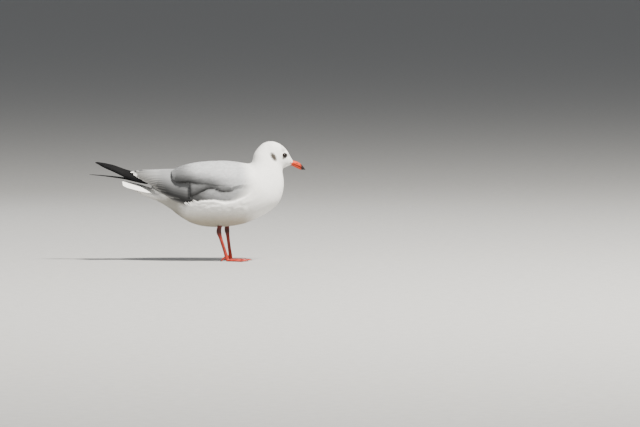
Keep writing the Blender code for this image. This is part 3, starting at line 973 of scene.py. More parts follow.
# %% Lids
# Radius and height of the lid's section about the middle of the eyeball.
LID_PROFILE = (
    (3.95, 3.95), (4.05, 4.3), (4.4, 4.3), (4.85, 3.7), (5.3, 2.8), (5.5, 1.6), (5.0, 1.4), (4.7, 2.6),
)
LID_DARK = np.array((0.022, 0.018, 0.016))
LID_STRETCH = 0.13
LID_SLOPE = HEAD_TURN @ Vector((0.5, 0, 0.86))


def facing_out(side):
    """The turn that brings an upright piece to look out along an eye's axis."""
    return Vector((0, 0, 1)).rotation_difference(eye_axes[side]).to_matrix()


def lid(side):
    """A soft ring that closes on the eyeball, drawn round its axis by a spin."""
    bm = bmesh.new()
    profile = [bm.verts.new((radius * MM, 0, height * MM)) for radius, height in LID_PROFILE]
    edges = [bm.edges.new(pair) for pair in zip(profile, profile[1:] + profile[:1])]
    bmesh.ops.spin(
        bm, geom=profile + edges, cent=(0, 0, 0), axis=(0, 0, 1), angle=FULL_TURN, steps=40, use_merge=True
    )
    bmesh.ops.remove_doubles(bm, verts=bm.verts, dist=1e-6)
    bmesh.ops.recalc_face_normals(bm, faces=bm.faces)
    facing = facing_out(side)
    for vert in bm.verts:
        place = facing @ vert.co
        place += LID_SLOPE * place.dot(LID_SLOPE) * LID_STRETCH
        vert.co = place + eye_middles[side]
    mesh = as_mesh(bm, "lid")
    points = mesh_points(mesh)
    offsets = points - np.array(eye_middles[side])
    rim = np.linalg.norm(np.cross(offsets, np.array(eye_axes[side])), axis=1) / MM
    set_tint(mesh, blend(LID_DARK, plumage_tint(points), ease(rim, 4.6, 5.2)))
    set_feather(mesh, np.full((len(points), 3), 0.5))
    chart_faces(mesh)
    return mesh


lids = [lid(LEFT), lid(RIGHT)]
print(f"lids of {len(lids[0].polygons)} faces each")

# %% [markdown]
# ## Bare legs and webbed feet
# The legs are bare and red, with knuckles at the ankle and webs between the toes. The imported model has
# a leg and a foot for each side. They are fused and rounded by a finer remesh in the same way as the
# body, so that no seam shows where they meet, and no point of them goes below the floor.

# %% Fuse the legs
LEG_VOXEL = 0.56 * MM
WEB_TOP = 2.2 * MM
LEGS = ("leg_left", "leg_right", "foot_left", "foot_right")
legs = remeshed(merged_nodes(LEGS, grow=0.24 * MM), LEG_VOXEL)
soften(legs, 2)
legs.normal_update()
for vert in legs.verts:
    if vert.co.z < WEB_TOP:
        swell = -0.12
    else:
        swell = 0.5 * float(ease(vert.co.z / MM, 5, 12)) - 0.2
    vert.co += vert.normal * swell * MM
    vert.co.z = max(vert.co.z, 0)
bmesh.ops.recalc_face_normals(legs, faces=legs.faces)
print(f"legs of {len(legs.faces)} faces")

# %% [markdown]
# Their flat map lies in a strip under the body's, in six boxes: for each leg the shaft, unrolled about
# its own leaning axis, the back of the foot from above and the sole from below. A second map in
# millimetres, round and along the shaft and outwards over the foot, guides the scales.

# %% The flat map of the legs
ANKLES = {LEFT: (1.2, 17.3), RIGHT: (-4.8, -17.3)}
SHAFT_LEAN = {LEFT: 0.085, RIGHT: 0.235}
SHAFT_START = 10.5
SHAFT, UPPER_FOOT, SOLE = range(3)
BOX_WIDTH = 0.15


def chart_legs(mesh):
    """Gives the legs' mesh its flat maps."""
    x, y, z = on_drawing(mesh_points(mesh))
    middles = on_drawing(read_out(mesh.polygons, "center", 3))
    looks_up = read_out(mesh.polygons, "normal", 3)[:, 2] >= 0
    corners, face_of = corners_of(mesh)
    x, y, z = x[corners], y[corners], z[corners]
    is_left = middles[1] > 0
    kind = np.where(middles[2] > SHAFT_START, SHAFT, np.where(looks_up, UPPER_FOOT, SOLE))
    ankle = np.where(is_left[:, None], ANKLES[LEFT], ANKLES[RIGHT])
    lean = np.where(is_left, SHAFT_LEAN[LEFT], SHAFT_LEAN[RIGHT])

    def round_shaft(px, py, pz, face):
        return np.arctan2(py - ankle[face, 1], px - ankle[face, 0] + lean[face] * (pz - 3))

    own = round_shaft(*middles, np.arange(len(kind)))[face_of]
    angle = own + (round_shaft(x, y, z, face_of) - own + math.pi) % FULL_TURN - math.pi
    ahead, aside = x - ankle[face_of, 0], y - ankle[face_of, 1]
    on_shaft = (kind[face_of] == SHAFT)[:, None]
    rise = np.stack([(z - 8) / 76, (angle / FULL_TURN + 0.56) * 0.88], 1)
    reach = np.stack([ahead + 18, np.abs(y) - ANKLES[LEFT][1] + 24], 1) / 64
    places = np.where(on_shaft, rise, reach) * BOX_WIDTH + 0.01
    places[:, 0] += 1.1 * BOX_WIDTH * (kind + 3 * (~is_left))[face_of]
    set_map(mesh, "OFBake", places)
    fan = np.stack([np.arctan2(aside, ahead + 6) * 20, np.hypot(ahead + 6, aside)], 1)
    set_map(mesh, "Vane", np.where(on_shaft, np.stack([angle * 2.6, z], 1), fan))


legs_mesh = as_mesh(legs, "legs")
chart_legs(legs_mesh)
print(f"maps of the legs: {[layer.name for layer in legs_mesh.uv_layers]}")

# %% [markdown]
# The red is dullest at the knuckle of the ankle, which is its own colour. Above the feet the shank darkens
# towards the body as painted shade, so the feet are lightest. The shins' middle lines are measured too,
# since the feathers of the thighs hang round them.

# %% Colour of the legs
LEG_RED = np.array((0.44, 0.024, 0.007))
KNUCKLE = 53
SHIN_LEVELS = (58, 62, 66, 70, 74)
points = mesh_points(legs_mesh)
shins = {}
for side in (LEFT, RIGHT):
    leg = points[points[:, 1] * side > 0]
    slabs = [leg[np.abs(leg[:, 2] / MM - level) < 2] for level in SHIN_LEVELS]
    shins[side] = np.array([slab.mean(0)[:2] for slab in slabs])
height = points[:, 2] / MM
knuckle = np.exp(-(((height - KNUCKLE) / 7) ** 2))
# Painted shade: darker up the shank towards the body, lightest on the feet; the knuckle is its own dark
# colour.
painted_leg_shade = 0.9 - 0.3 * ease(height, 7, 22) - 0.2 * knuckle - 0.3 * ease(height, 40, 54)
set_tint(legs_mesh, LEG_RED * painted_leg_shade[:, None])
web = ease(height, 2.6, 1.5)
set_feather(legs_mesh, np.stack([web, height / 70, np.zeros_like(web)], 1))
print(f"shins {(shins[LEFT][0, 1] - shins[RIGHT][0, 1]) / MM:.1f} mm apart")

# %% [markdown]
# ## Bare skin
# The front of a gull's leg is clad in scutes that lap downwards like roof tiles, and its webs only
# wrinkle. A saw-tooth along the shaft gives the steps, bent by noise so that they aren't ruled, and
# small cells over it give the fine grain. In each step's crease the red is darker, as painted shade.

# %% Bare skin
SCUTE = 2.1
SCALE_DENSITY = 1500
bare, tree, shader = node_material("bare_skin", 0.4, Specular_IOR_Level=0.45)
web = feather_parts(tree)[0]
bent = maths(tree, "ADD", vane_run(tree)[1], maths(tree, "MULTIPLY", noise_on(tree, 180), 1.2))
step = maths(tree, "FRACT", maths(tree, "DIVIDE", bent, SCUTE))
plates = maths(tree, "MULTIPLY", step, maths(tree, "SUBTRACT", 1.0, maths(tree, "MULTIPLY", web, 0.75)))
cells = add_node(tree, "ShaderNodeTexVoronoi", {"Vector": object_place(tree), "Scale": SCALE_DENSITY})
grain = maths(tree, "MULTIPLY", cells.outputs["Distance"], 0.3)
# Painted shade: the red is darker in each step's crease.
crease = remap(tree, step, 0, 0.16, 0.72, 1.0)
blotch = remap(tree, noise_on(tree, 240), 0.3, 0.7, 0.82, 1.1)
toned_tint(tree, shader, maths(tree, "MULTIPLY", crease, blotch))
bump(tree, shader, maths(tree, "ADD", plates, grain), 0.00016, 0.7)
print(f"scutes {SCUTE} mm apart")

# %% [markdown]
# ## The skin becomes one piece
# Body, lids and legs are one living skin, so they are joined to one mesh with two materials. That piece
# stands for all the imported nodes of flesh, which then aren't shown.


# %% One piece of skin
def show(mesh, name, *materials, crease=0):
    """Makes a finished piece of a mesh. Edges sharper than crease stay sharp, unless it is 0."""
    mesh.name = name
    made = bpy.data.objects.new(name, mesh)
    scene.collection.objects.link(made)
    for material in materials:
        mesh.materials.append(material)
    mesh.shade_smooth()
    if crease:
        mesh.set_sharp_from_angle(angle=crease)
    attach(made, "root")
    return made


for material in (plumage, bare):
    legs_mesh.materials.append(material)
legs_mesh.polygons.foreach_set("material_index", np.ones(len(legs_mesh.polygons), "i"))
skin_mesh = as_mesh(one_bmesh([skin_mesh, *lids, legs_mesh]), "skin")
skin = show(skin_mesh, "skin", plumage, bare)
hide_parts(*FLESH, *LEGS)
print(f"one skin of {len(skin_mesh.polygons)} faces, {time.time() - STARTED:.1f} s")

# %% [markdown]
# ## The coat
# Particle hair would be the quick way to a coat, but it stays behind when a model is exported, so each
# feather is a small solid. A body feather is a closed vane, roofed along its shaft and flat below. One
# vane is made from a sphere with three sides. It is then copied thousands of times as arrays, because
# joined arrays are quick, and each copy is bent over the form: its root sits on the skin and its tip
# lies on the form's surface over the root of the next.


# %% One body feather
def places_and_faces(bm, place_of):
    """The points of a bmesh, each as place_of gives it, and its faces. Frees the bmesh."""
    bm.verts.index_update()
    places = np.array([place_of(vert.co) for vert in bm.verts])
    faces = [[vert.index for vert in face.verts] for face in bm.faces]
    bm.free()
    return places, faces


def small_vane(rows):
    """A vane with three sides, as points (aside -1 to 1, along 0 to 1, height 0 to 1), and its faces."""
    bm = bmesh.new()
    bmesh.ops.create_uvsphere(bm, u_segments=3, v_segments=rows, radius=1)
    ridge = next(vert.co.xy for vert in bm.verts if vert.co.xy.length > 0.1)
    turn = Matrix.Rotation(math.pi / 2 - math.atan2(ridge.y, ridge.x), 3, "Z")
    bmesh.ops.rotate(bm, verts=bm.verts, cent=(0, 0, 0), matrix=turn)

    def place_of(co):
        ring = co.xy.length
        if ring < 0.01:
            return 0, (co.z + 1) / 2, 0.5
        return co.x / ring / 0.866, (co.z + 1) / 2, (co.y / ring + 0.5) / 1.5

    return places_and_faces(bm, place_of)


TUFT = small_vane(4)
print(f"a body feather has {len(TUFT[0])} points and {len(TUFT[1])} faces")

# %% [markdown]
# ## Sheets for longer feathers
# Coverts and quills are wider than they are thick, and show both their faces. A grid that is extruded
# gives a thin closed sheet. The points of a sheet are gathered towards its tip, where the outline turns
# most, and a feather of the wing is roofed on top and hollow below.


# %% A closed sheet
def closed_sheet(columns, rows):
    """A sheet as points (aside -1 to 1, along 0 to 1, 1 on top and 0 below), and its faces."""
    bm = bmesh.new()
    bmesh.ops.create_grid(bm, x_segments=columns, y_segments=rows, size=1)
    bottom = set(bm.verts)
    bmesh.ops.extrude_face_region(bm, geom=bm.faces[:])
    for vert in bm.verts:
        vert.co.z = 0 if vert in bottom else 1
    bmesh.ops.recalc_face_normals(bm, faces=bm.faces)
    return places_and_faces(bm, lambda co: (co.x, (co.y + 1) / 2, co.z))


def wing_vane():
    """A feather of the wing: a sheet with a roof along its shaft."""
    places, faces = closed_sheet(4, 6)
    aside, along, top = places.T
    roof = 1 - np.abs(aside) ** 1.5
    height = np.where(top > 0.5, 0.3 + 0.7 * roof, 0.55 * roof - 0.15)
    return np.stack([aside, 1 - (1 - along) ** 1.7, height], 1), faces


def outline(along, blunt):
    """Half width of a vane along its length, as a share of the widest: blunt tips have more."""
    rise = np.clip(along / 0.3, 0, 1) ** 0.6
    fall = np.sqrt(np.clip(1 - np.clip((along - blunt) / (1.001 - blunt), 0, 1) ** 2, 0, 1))
    return (0.15 + 0.85 * rise) * fall


WING_VANE = wing_vane()
print(f"a covert has {len(WING_VANE[0])} points and {len(WING_VANE[1])} faces")

# %% [markdown]
# ## Spreading the roots
# Feathers grow in even rows, never two on one spot. Points are thrown on the form's triangles, more
# where the spacing is small, and those that fall too near an earlier one are dropped. A grid would show
# as lines on a round body, and this doesn't.

# %% The form's triangles
corners = np.array([[loop.vert.co[:] for loop in triangle] for triangle in form.calc_loop_triangles()])
crosses = np.cross(corners[:, 1] - corners[:, 0], corners[:, 2] - corners[:, 0])
form_corners, form_areas, form_facing = corners, np.linalg.norm(crosses, axis=1) / 2, unit(crosses)
print(f"{len(form_corners)} triangles, {form_areas.sum() * 1e4:.0f} square centimetres of plumage")

# %% Throw points and drop the crowded ones
CROWD = 7.0  # points thrown for each square of the spacing


def uncrowded(points, spacings):
    """Which points stay when each one drops all later ones within its spacing."""
    tree = kdtree.KDTree(len(points))
    for i, point in enumerate(points):
        tree.insert(point, i)
    tree.balance()
    kept, dropped = np.zeros(len(points), bool), np.zeros(len(points), bool)
    for i in range(len(points)):
        if not dropped[i]:
            kept[i] = True
            for _, j, _ in tree.find_range(points[i], spacings[i]):
                dropped[j] = True
    return kept


def spread(spacing_at):
    """Points on the form with normals and spacings. Zero spacing leaves bare."""
    spacings = spacing_at(form_corners.mean(1))
    wanted = np.where(spacings > 0, form_areas / np.maximum(spacings, 1e-6) ** 2 * CROWD, 0)
    chosen = np.repeat(np.arange(len(wanted)), DICE.poisson(wanted))
    a, b = DICE.random((2, len(chosen)))
    flip = a + b > 1
    a, b = np.where(flip, 1 - a, a)[:, None], np.where(flip, 1 - b, b)[:, None]
    corners = form_corners[chosen]
    points = corners[:, 0] * (1 - a - b) + corners[:, 1] * a + corners[:, 2] * b
    order = DICE.permutation(len(points))
    points, chosen = points[order], chosen[order]
    kept = uncrowded(points, spacings[chosen])
    return points[kept], form_facing[chosen][kept], spacings[chosen][kept]


print(f"{CROWD:.0f} points are thrown for each that may stay")

# %% [markdown]
# ## Bending feathers over the form
# A stiff card would stab into the body or stand off it. So each feather's middle line is walked in a
# few steps from its root along the lie of the coat, each step brought back to the nearest place on the
# form, and the vane's points are hung on that line.


# %% Middle lines on the form
def on_form(points, normals, turn_limit=0.72):
    """The nearest places on the form, but straight on where the form turns away sharply."""
    new_points, new_normals = points.copy(), normals.copy()
    for i in range(len(points)):
        hit, facing, _, _ = form_tree.find_nearest(points[i])
        if facing.dot(normals[i]) > turn_limit:
            new_points[i] = hit
            new_normals[i] = facing
    return new_points, unit(0.5 * normals + 0.5 * new_normals)


def centre_lines(roots, normals, ways, lengths, steps):
    """Points, normals and directions down the middle of each feather."""
    line = [(roots, normals, ways)]
    points = roots
    for _ in range(steps):
        points, normals = on_form(points + ways * (lengths / steps)[:, None], normals)
        ways = level_with(normals, lie_of_coat(points, normals) * 0.35 + ways)
        line.append((points, normals, ways))
    return [np.stack(kind, 1) for kind in zip(*line)]


def along_line(values, along):
    """Values between the steps of each line, at the shares of its length in along."""
    steps = values.shape[1] - 1
    low = np.clip((along * steps).astype(int), 0, steps - 1)
    share = (along * steps - low)[None, :, None]
    return values[:, low] * (1 - share) + values[:, low + 1] * share


print("middle lines ready")


# %% One mesh of many feathers
def joined(places, faces):
    """One mesh of many copies of a shape. places is copies by points by 3."""
    copies, count = places.shape[:2]
    mesh = bpy.data.meshes.new("joined")
    flat = np.concatenate([np.array(face) for face in faces])
    corners = (flat[None, :] + (np.arange(copies) * count)[:, None]).ravel()
    totals = np.tile([len(face) for face in faces], copies)
    mesh.vertices.add(copies * count)
    mesh.vertices.foreach_set("co", places.ravel())
    mesh.loops.add(len(corners))
    mesh.loops.foreach_set("vertex_index", corners)
    mesh.polygons.add(len(totals))
    mesh.polygons.foreach_set("loop_start", np.concatenate([[0], np.cumsum(totals)[:-1]]))
    mesh.polygons.foreach_set("loop_total", totals)
    mesh.update()
    mesh.validate()
    return mesh, corners


PATCH = 0.003  # size of each feather's patch on the flat map
VANE_CREASE = math.radians(50)


def coat_piece(name, places, template, roots, tints, run, slot):
    """One coat piece of many feathers: its colours, its feathers' numbers, both maps and its material."""
    shape, faces = template
    aside, along = shape[:, 0], shape[:, 1]
    count = len(roots)
    mesh, corners = joined(places, faces)
    set_tint(mesh, tints)
    numbers = np.repeat(DICE.random(count), len(shape))
    set_feather(mesh, np.stack([np.tile(aside, count), np.tile(along, count), numbers], 1))
    centres = np.where(roots[:, 1:2] > 0, chart(roots, LEFT), chart(roots, RIGHT))
    spots = np.stack([aside / 2, along - 0.5], 1) * PATCH
    set_map(mesh, "OFBake", (centres[:, None] + spots[None]).reshape(-1, 2)[corners])
    set_map(mesh, "Vane", run.reshape(-1, 2)[corners])
    made = show(mesh, name, plumage, crease=VANE_CREASE)
    print(f"{name}: {count} feathers, {count * sum(len(face) - 2 for face in faces)} triangles")


# %% [markdown]
# A kind of feather is its template and a few shares of the spacing of the roots: how wide it is, how
# far its tip lifts and how thick it is. Tufts of the body are narrow and soft, and the wing's feathers
# are broad and lie in order, each a shade apart from the next.

# %% Kinds of feather
BODY_FEATHER = {
    "template": TUFT, "wide": 0.75, "rise": 0.13, "thick": 0.045, "blunt": 0.15, "fan": 0.15, "steps": 3,
    "vary": 0.03, "soft_edges": 0,
}
WING_FEATHER = {
    "template": WING_VANE, "wide": 0.88, "rise": 0.1, "thick": 0.025, "blunt": 0.4, "fan": 0.06, "steps": 4,
    "vary": 0.13, "soft_edges": 0.65,
}
print(f"a body feather is {2 * BODY_FEATHER['wide']} spacings wide")

# %% Lay feathers on the form
# Over this share of its length a feather's root dips, by this share of the coat's depth.
ROOT_RUN, ROOT_DIP = 0.16, 0.6
UNEVEN = 0.1
TINT_AT = 0.75


def lay(name, slot, roots, normals, apart, lengths, template, wide, rise, thick, blunt, fan, steps, vary,
        soft_edges):
    """Lays feathers on the form, root to tip along the lie of the coat, as one mesh."""
    count = len(roots)
    shape, _ = template
    aside, along, height = shape.T
    ways = lie_of_coat(roots, normals)
    ways = unit(ways + np.cross(normals, ways) * DICE.normal(0, fan, count)[:, None])
    points, facings, headings = centre_lines(roots, normals, level_with(normals, ways), lengths, steps)
    facing = unit(along_line(facings, along))
    crosswise = unit(np.cross(facing, along_line(headings, along)))
    half = (apart * wide)[:, None] * outline(along, blunt)[None, :]
    reach = along_line(points, along) + crosswise * (aside[None, :] * half)[..., None]
    flat, flat_normals = on_form(reach.reshape(-1, 3), facing.reshape(-1, 3), 0.6)
    # The tip lies on the form, and the root goes down to the skin.
    lift = (apart * rise)[:, None]
    rooted = np.clip(1 - along / ROOT_RUN, 0, 1) ** 2
    level = -lift * (1 - along) - np.maximum(coat_depth(roots)[:, None] - lift, 0) * rooted * ROOT_DIP
    level = level + DICE.normal(0, UNEVEN, count)[:, None] * lift * along
    level = level + (height - 1) * (apart * thick)[:, None]
    places = (flat + flat_normals * level.reshape(-1, 1)).reshape(count, -1, 3)
    tints = np.repeat(plumage_tint(points[:, round(TINT_AT * steps)]), len(shape), 0)
    if soft_edges:
        tints = (1 - soft_edges) * tints + soft_edges * plumage_tint(flat)
    shades = np.repeat(DICE.uniform(1 - vary, 1 + vary * 0.4, count), len(shape))
    run = np.stack([aside[None, :] * half, along[None, :] * lengths[:, None]], 2) / MM
    coat_piece(name, places, template, roots, tints * shades[:, None], run, slot)


print(f"roots dip over {ROOT_RUN:.0%} of a feather's length")

# %% [markdown]
# ## Where feathers may grow
# The feathers are tiny on the face and grow to some eleven millimetres on the belly. No feather may
# cover an eye, climb on to the group above, or stick out behind the rump. Each such rule shortens the
# feathers it touches, and drops those that would be too short.

# %% Room round the eyes
eye_fronts = {side: eye_middles[side] + eye_axes[side] * EYE_RADIUS * 0.8 for side in (LEFT, RIGHT)}
EYE_ROOM = LID_RADIUS + 0.1 * MM
SHORTEST = 0.5 * MM


def clear_of_eyes(points, ways, lengths):
    """Shortens feathers that would cover an eye and says which have to go."""
    kept = np.ones(len(points), bool)
    for front in eye_fronts.values():
        offset = points - np.array(front)
        near = np.linalg.norm(offset, axis=1)
        kept &= near > EYE_ROOM
        ahead = -(offset * ways).sum(1)
        miss = np.linalg.norm(offset + ways * ahead[:, None], axis=1)
        room = ahead - np.sqrt(np.maximum(EYE_ROOM**2 - miss**2, 0))
        hits = (miss < LID_RADIUS) & (ahead > 0) & (near < 12 * MM)
        lengths = np.where(hits, np.minimum(lengths, np.maximum(room, 0)), lengths)
    return kept & (lengths > SHORTEST), lengths


print(f"{EYE_ROOM / MM:.1f} mm round each eye stay free")


# %% Room at the edges of the groups
def stopped_at_edges(points, ways, lengths):
    """Shortens feathers of a lower group that would run up on to the one above."""
    groups = group_of(points)
    for share in (1.0, 0.8, 0.6, 0.4, 0.25):
        tips = group_of(points + ways * (lengths * share)[:, None])
        climbs = ((groups == LESSER) & (tips == GREATER)) | ((groups == GREATER) & (tips == MANTLE))
        climbs |= (groups == FLANK) & (tips > FLANK)
        lengths = np.where(climbs, np.minimum(lengths, lengths * share * 0.9), lengths)
    x = on_drawing(points)[0]
    room = np.where(groups == GREATER, x - COVERTS_END + 1.5, 1000)
    room = np.where(groups == MANTLE, x - MANTLE_END + 0.5, room)
    lengths = np.where((groups == MANTLE) & (x < -84), lengths * 0.7, lengths)
    return np.minimum(lengths, np.maximum(room, 0) * MM)


print(f"the coverts end at x {COVERTS_END}, the mantle at x {MANTLE_END}")

# %% Room behind the rump
LONGEST_BEHIND = 6 * MM
COVERTS_TIP = -170
# Rows are x and the height of the bare strip's lower edge.
BARE_STRIP = ((-160, 131), (-134, 121.5), (-108, 113))


def clear_of_rump(points, normals, lengths):
    """Keeps feathers from sticking out behind, and leaves bare what the quills and the tail cover."""
    x, _, z = on_drawing(points)
    looks_back = (normals[:, 0] < -0.3) & (x < -55) & (z > 125)
    lengths = np.where(looks_back, np.minimum(lengths, LONGEST_BEHIND), lengths)
    lengths = np.where(x < -130, np.minimum(lengths, np.maximum(x - COVERTS_TIP, 3) * MM), lengths)
    kept = (normals[:, 0] > -0.75) | (z < 130) | (x > 0)
    # Nothing sticks out behind the rump or past the end of the under tail coverts.
    not_behind = (normals[:, 0] > -0.3) | (z < 118)
    not_under_tail = (z < 126) | (normals[:, 2] > 0.2)
    kept &= (x > -100) | not_behind & not_under_tail & (x > -163)
    # The narrow strip between the quills and the tail stays bare.
    kept &= (x > -116) | (z < read_table(x, BARE_STRIP))
    return kept, lengths


print(f"feathers that look back are at most {LONGEST_BEHIND / MM:.0f} mm long")


# %% Roots of a coat
def coat_roots(spacing, reach):
    """Roots of a coat with their normals, spacings and lengths."""
    roots, normals, apart = spread(spacing)
    ways = lie_of_coat(roots, normals)
    lengths = apart * reach * DICE.uniform(0.85, 1.2, len(roots))
    lengths = stopped_at_edges(roots, ways, lengths)
    clear, lengths = clear_of_eyes(roots, ways, lengths)
    kept, lengths = clear_of_rump(roots, normals, lengths)
    kept &= clear
    return [values[kept] for values in (roots, normals, apart, lengths)]


def lay_regions(coat, regions, kind, slot):
    """Lays a coat as one piece for each region and side."""
    roots = coat[0]
    for region, part in regions.items():
        for name, side in SIDES.items():
            at = part & ((roots[:, 1] > 0) == (side == LEFT))
            lay(f"coat_{region}_{name}", slot, *(values[at] for values in coat), **kind)


print("regions are laid as", ", ".join(SIDES), "pieces")

# %% [markdown]
# ## The body coat
# The wings' own place is left free here, since their feathers are laid apart. The coat is split into
# face, head, neck and body on each side, so that no piece grows too large for an export.

# %% Body feathers
BODY_REACH = 6.0
# Rows are the distance from the bill and the spacing of the roots.
BODY_SPACING = (
    (3, 0.45), (26, 0.52), (50, 0.66), (80, 0.84), (110, 1.05), (150, 1.25), (220, 1.5), (290, 1.9),
)
FACE_END, HEAD_END, NECK_END = 30, 82, 140


def body_spacing(points):
    """The spacing of roots over the body. It is zero under the wings' own feathers."""
    marks = marks_of(points)
    hidden = (group_of(points) == HIDDEN) | (grey_share(points) > 0.55)
    return np.where((marks < BODY_SPACING[0][0]) | hidden, 0, read_table(marks, BODY_SPACING)) * MM


body_coat = coat_roots(body_spacing, BODY_REACH)
marks = marks_of(body_coat[0])
regions = {
    "face": marks < FACE_END,
    "head": (marks >= FACE_END) & (marks < HEAD_END),
    "neck": (marks >= HEAD_END) & (marks < NECK_END),
    "body": marks >= NECK_END,
}
lay_regions(body_coat, regions, BODY_FEATHER, "white_plumage")
print(f"body coat laid, {time.time() - STARTED:.1f} s")

# %% [markdown]
# ## Feathered thighs
# The thigh is feathered down to the bare part of the leg. Those tufts hang free round the top of the leg
# in rings, so they run along given lines, closer to the leg at their tips, and don't follow the form.


# %% Loose tufts
def loose_tufts(name, lines, outs, half, thick):
    """Tufts along lines of points, root to tip, each with the way out of the body."""
    aside, along, height = TUFT[0].T
    roots, count = lines[:, 0], len(lines)
    across = unit(np.cross(outs, lines[:, -1] - roots))
    places = along_line(lines, along)
    places = places + across[:, None] * (aside * half * outline(along, BODY_FEATHER["blunt"]))[None, :, None]
    places = places + outs[:, None] * ((height - 0.5) * thick)[None, :, None]
    tints = np.repeat(plumage_tint(roots), len(aside), 0)
    run = np.tile(np.stack([aside * half / MM, along * 9], 1), (count, 1))
    coat_piece(name, places, TUFT, roots, tints, run, "white_plumage")


print("loose tufts follow given lines")

# %% Rings of tufts round the thighs
TUFT_DROP, TUFT_DRAWN_IN = 7, 0.9
# Radius of the thigh by height. It is a little narrower from side to side.
THIGH_WIDTH = ((64, 5.0), (76, 7.0))
THIGH_OVAL = np.array((1, 0.86, 0))


def thigh_tuft(shin, level, turn):
    """Root and tip of one tuft round a shin, and the way out of the thigh there."""
    out = np.array((math.cos(turn), math.sin(turn), 0))
    wide = read_table(level, THIGH_WIDTH) * MM * THIGH_OVAL
    line = []
    for height, share in ((level, 1), (level - TUFT_DROP, TUFT_DRAWN_IN)):
        middle = [np.interp(height, SHIN_LEVELS, shin[:, k]) for k in (0, 1)]
        line.append(np.array((*middle, height * MM)) + out * wide * share)
    return line, out


TUFT_LEVELS = np.linspace(78, 70.5, 9)
TUFT_TURNS = np.linspace(0, FULL_TURN, 26, endpoint=False)
RING_TWIST = 0.7
tufts = [
    thigh_tuft(shin, level, turn)
    for shin in shins.values()
    for ring, level in enumerate(TUFT_LEVELS)
    for turn in TUFT_TURNS + ring * RING_TWIST
]
lines, outs = zip(*tufts)
loose_tufts("thigh_feathers", np.array(lines), np.array(outs), half=0.85 * MM, thick=0.2 * MM)

# %% [markdown]
# ## Feathers of the folded wing
# The mantle and the coverts are broader feathers that lie in order, with soft edges between the groups.
# They are laid after the body's, with their own spacing, and each covers the roots of the next.

# %% Mantle and coverts
WING_REACH = 4.2
MANTLE_SPACING = ((110, 2.2), (220, 3.6), (240, 2.6))
COVERT_SPACING = 3.0


def wing_spacing(points):
    """The spacing of roots over the mantle and the coverts."""
    group = group_of(points)
    apart = np.where(group == MANTLE, read_table(marks_of(points), MANTLE_SPACING), COVERT_SPACING)
    under_scapulars = (on_drawing(points)[0] < COVERTS_END) & (group != MANTLE)
    return np.where((group == HIDDEN) | (grey_share(points) < 0.18) | under_scapulars, 0, apart) * MM


wing_coat = coat_roots(wing_spacing, WING_REACH)
on_mantle = group_of(wing_coat[0]) == MANTLE
lay_regions(wing_coat, {"mantle": on_mantle, "coverts": ~on_mantle}, WING_FEATHER, "grey_plumage")
print(f"wing coat laid, {time.time() - STARTED:.1f} s")

# %% [markdown]
# ## Faces for the quills
# The flight feathers are long, stiff blades stacked like a closed fan. They lie on the outer faces of
# the folded wings and on the tail, so those faces come first: for each place along the bird, where the
# upper and lower edges run, how far the face bows out between them and how thick the stack is.

# %% Faces of the wings and the tail
# Rows are x, upper y and z, lower y and z, bow and thickness.
TERTIALS = (
    (-177, 6, 158.6, 10, 152.6, 0.6, 1), (-169, 4.5, 161.4, 14, 146, 2, 2),
    (-154, 4.5, 162.4, 18.5, 136, 3.6, 3.2), (-130, 5, 162.8, 25.5, 124, 6, 4.6),
    (-100, 6, 163.3, 35, 108.4, 8.8, 6), (-78, 8, 164.5, 40.6, 97.6, 12, 7),
    (-70, 8.6, 165, 42, 95, 13, 7), (-66, 9, 165.2, 42, 96, 13, 6),
)
PRIMARIES_RIGHT = (
    (-240, -0.9, 176.9, 0, 175.3, 0.1, 0.9), (-236, -0.8, 177.4, 1.2, 173, 0.2, 1.1),
    (-224, 0.2, 175.8, 4.4, 165.6, 0.5, 1.4), (-206, 1.2, 172.2, 8.4, 156.4, 0.8, 1.7),
    (-188, 2.4, 167, 12.2, 146.6, 1, 2), (-170, 3.6, 162.6, 15.4, 141, 1.4, 2.2),
    (-150, 5, 159.5, 18.4, 133.6, 2, 2.4), (-133, 8, 156, 22, 127.5, 3.4, 2.6),
)
PRIMARIES_LEFT = (
    (-250, -8.2, 156.6, -6, 156.4, 0.1, 0.9), (-246, -9, 156.4, -4, 155.8, 0.2, 1.1),
    (-230, -7.6, 155.2, 2.8, 153.6, 0.6, 1.4), (-210, -4.6, 153.2, 8.2, 150.4, 0.9, 1.7),
    (-190, -1.6, 151, 12.4, 146.6, 1.2, 2), (-170, 1.4, 149.8, 16, 141, 1.6, 2.2),
    (-150, 4, 151.5, 18.6, 133.4, 2.4, 2.4), (-133, 8, 153, 22, 127.5, 3.4, 2.6),
)
# Rows are x, half width, middle z, edge drop and thickness.
TAIL_ROWS = (
    (-192.5, 24, 142.4, 4.4, 1.2), (-190, 25, 142, 4.8, 1.8), (-182, 24.5, 139.8, 6.4, 2.6),
    (-160, 21, 134.2, 7.2, 4.6), (-134, 16, 124.4, 3.4, 7), (-108, 9, 115, 1.5, 5),
)
TAIL = tuple((x, -half, z - drop, half, z - drop, drop, thick) for x, half, z, drop, thick in TAIL_ROWS)
print(f"the right wing's tip reaches x {PRIMARIES_RIGHT[0][0]}, the left one's x {PRIMARIES_LEFT[0][0]}")


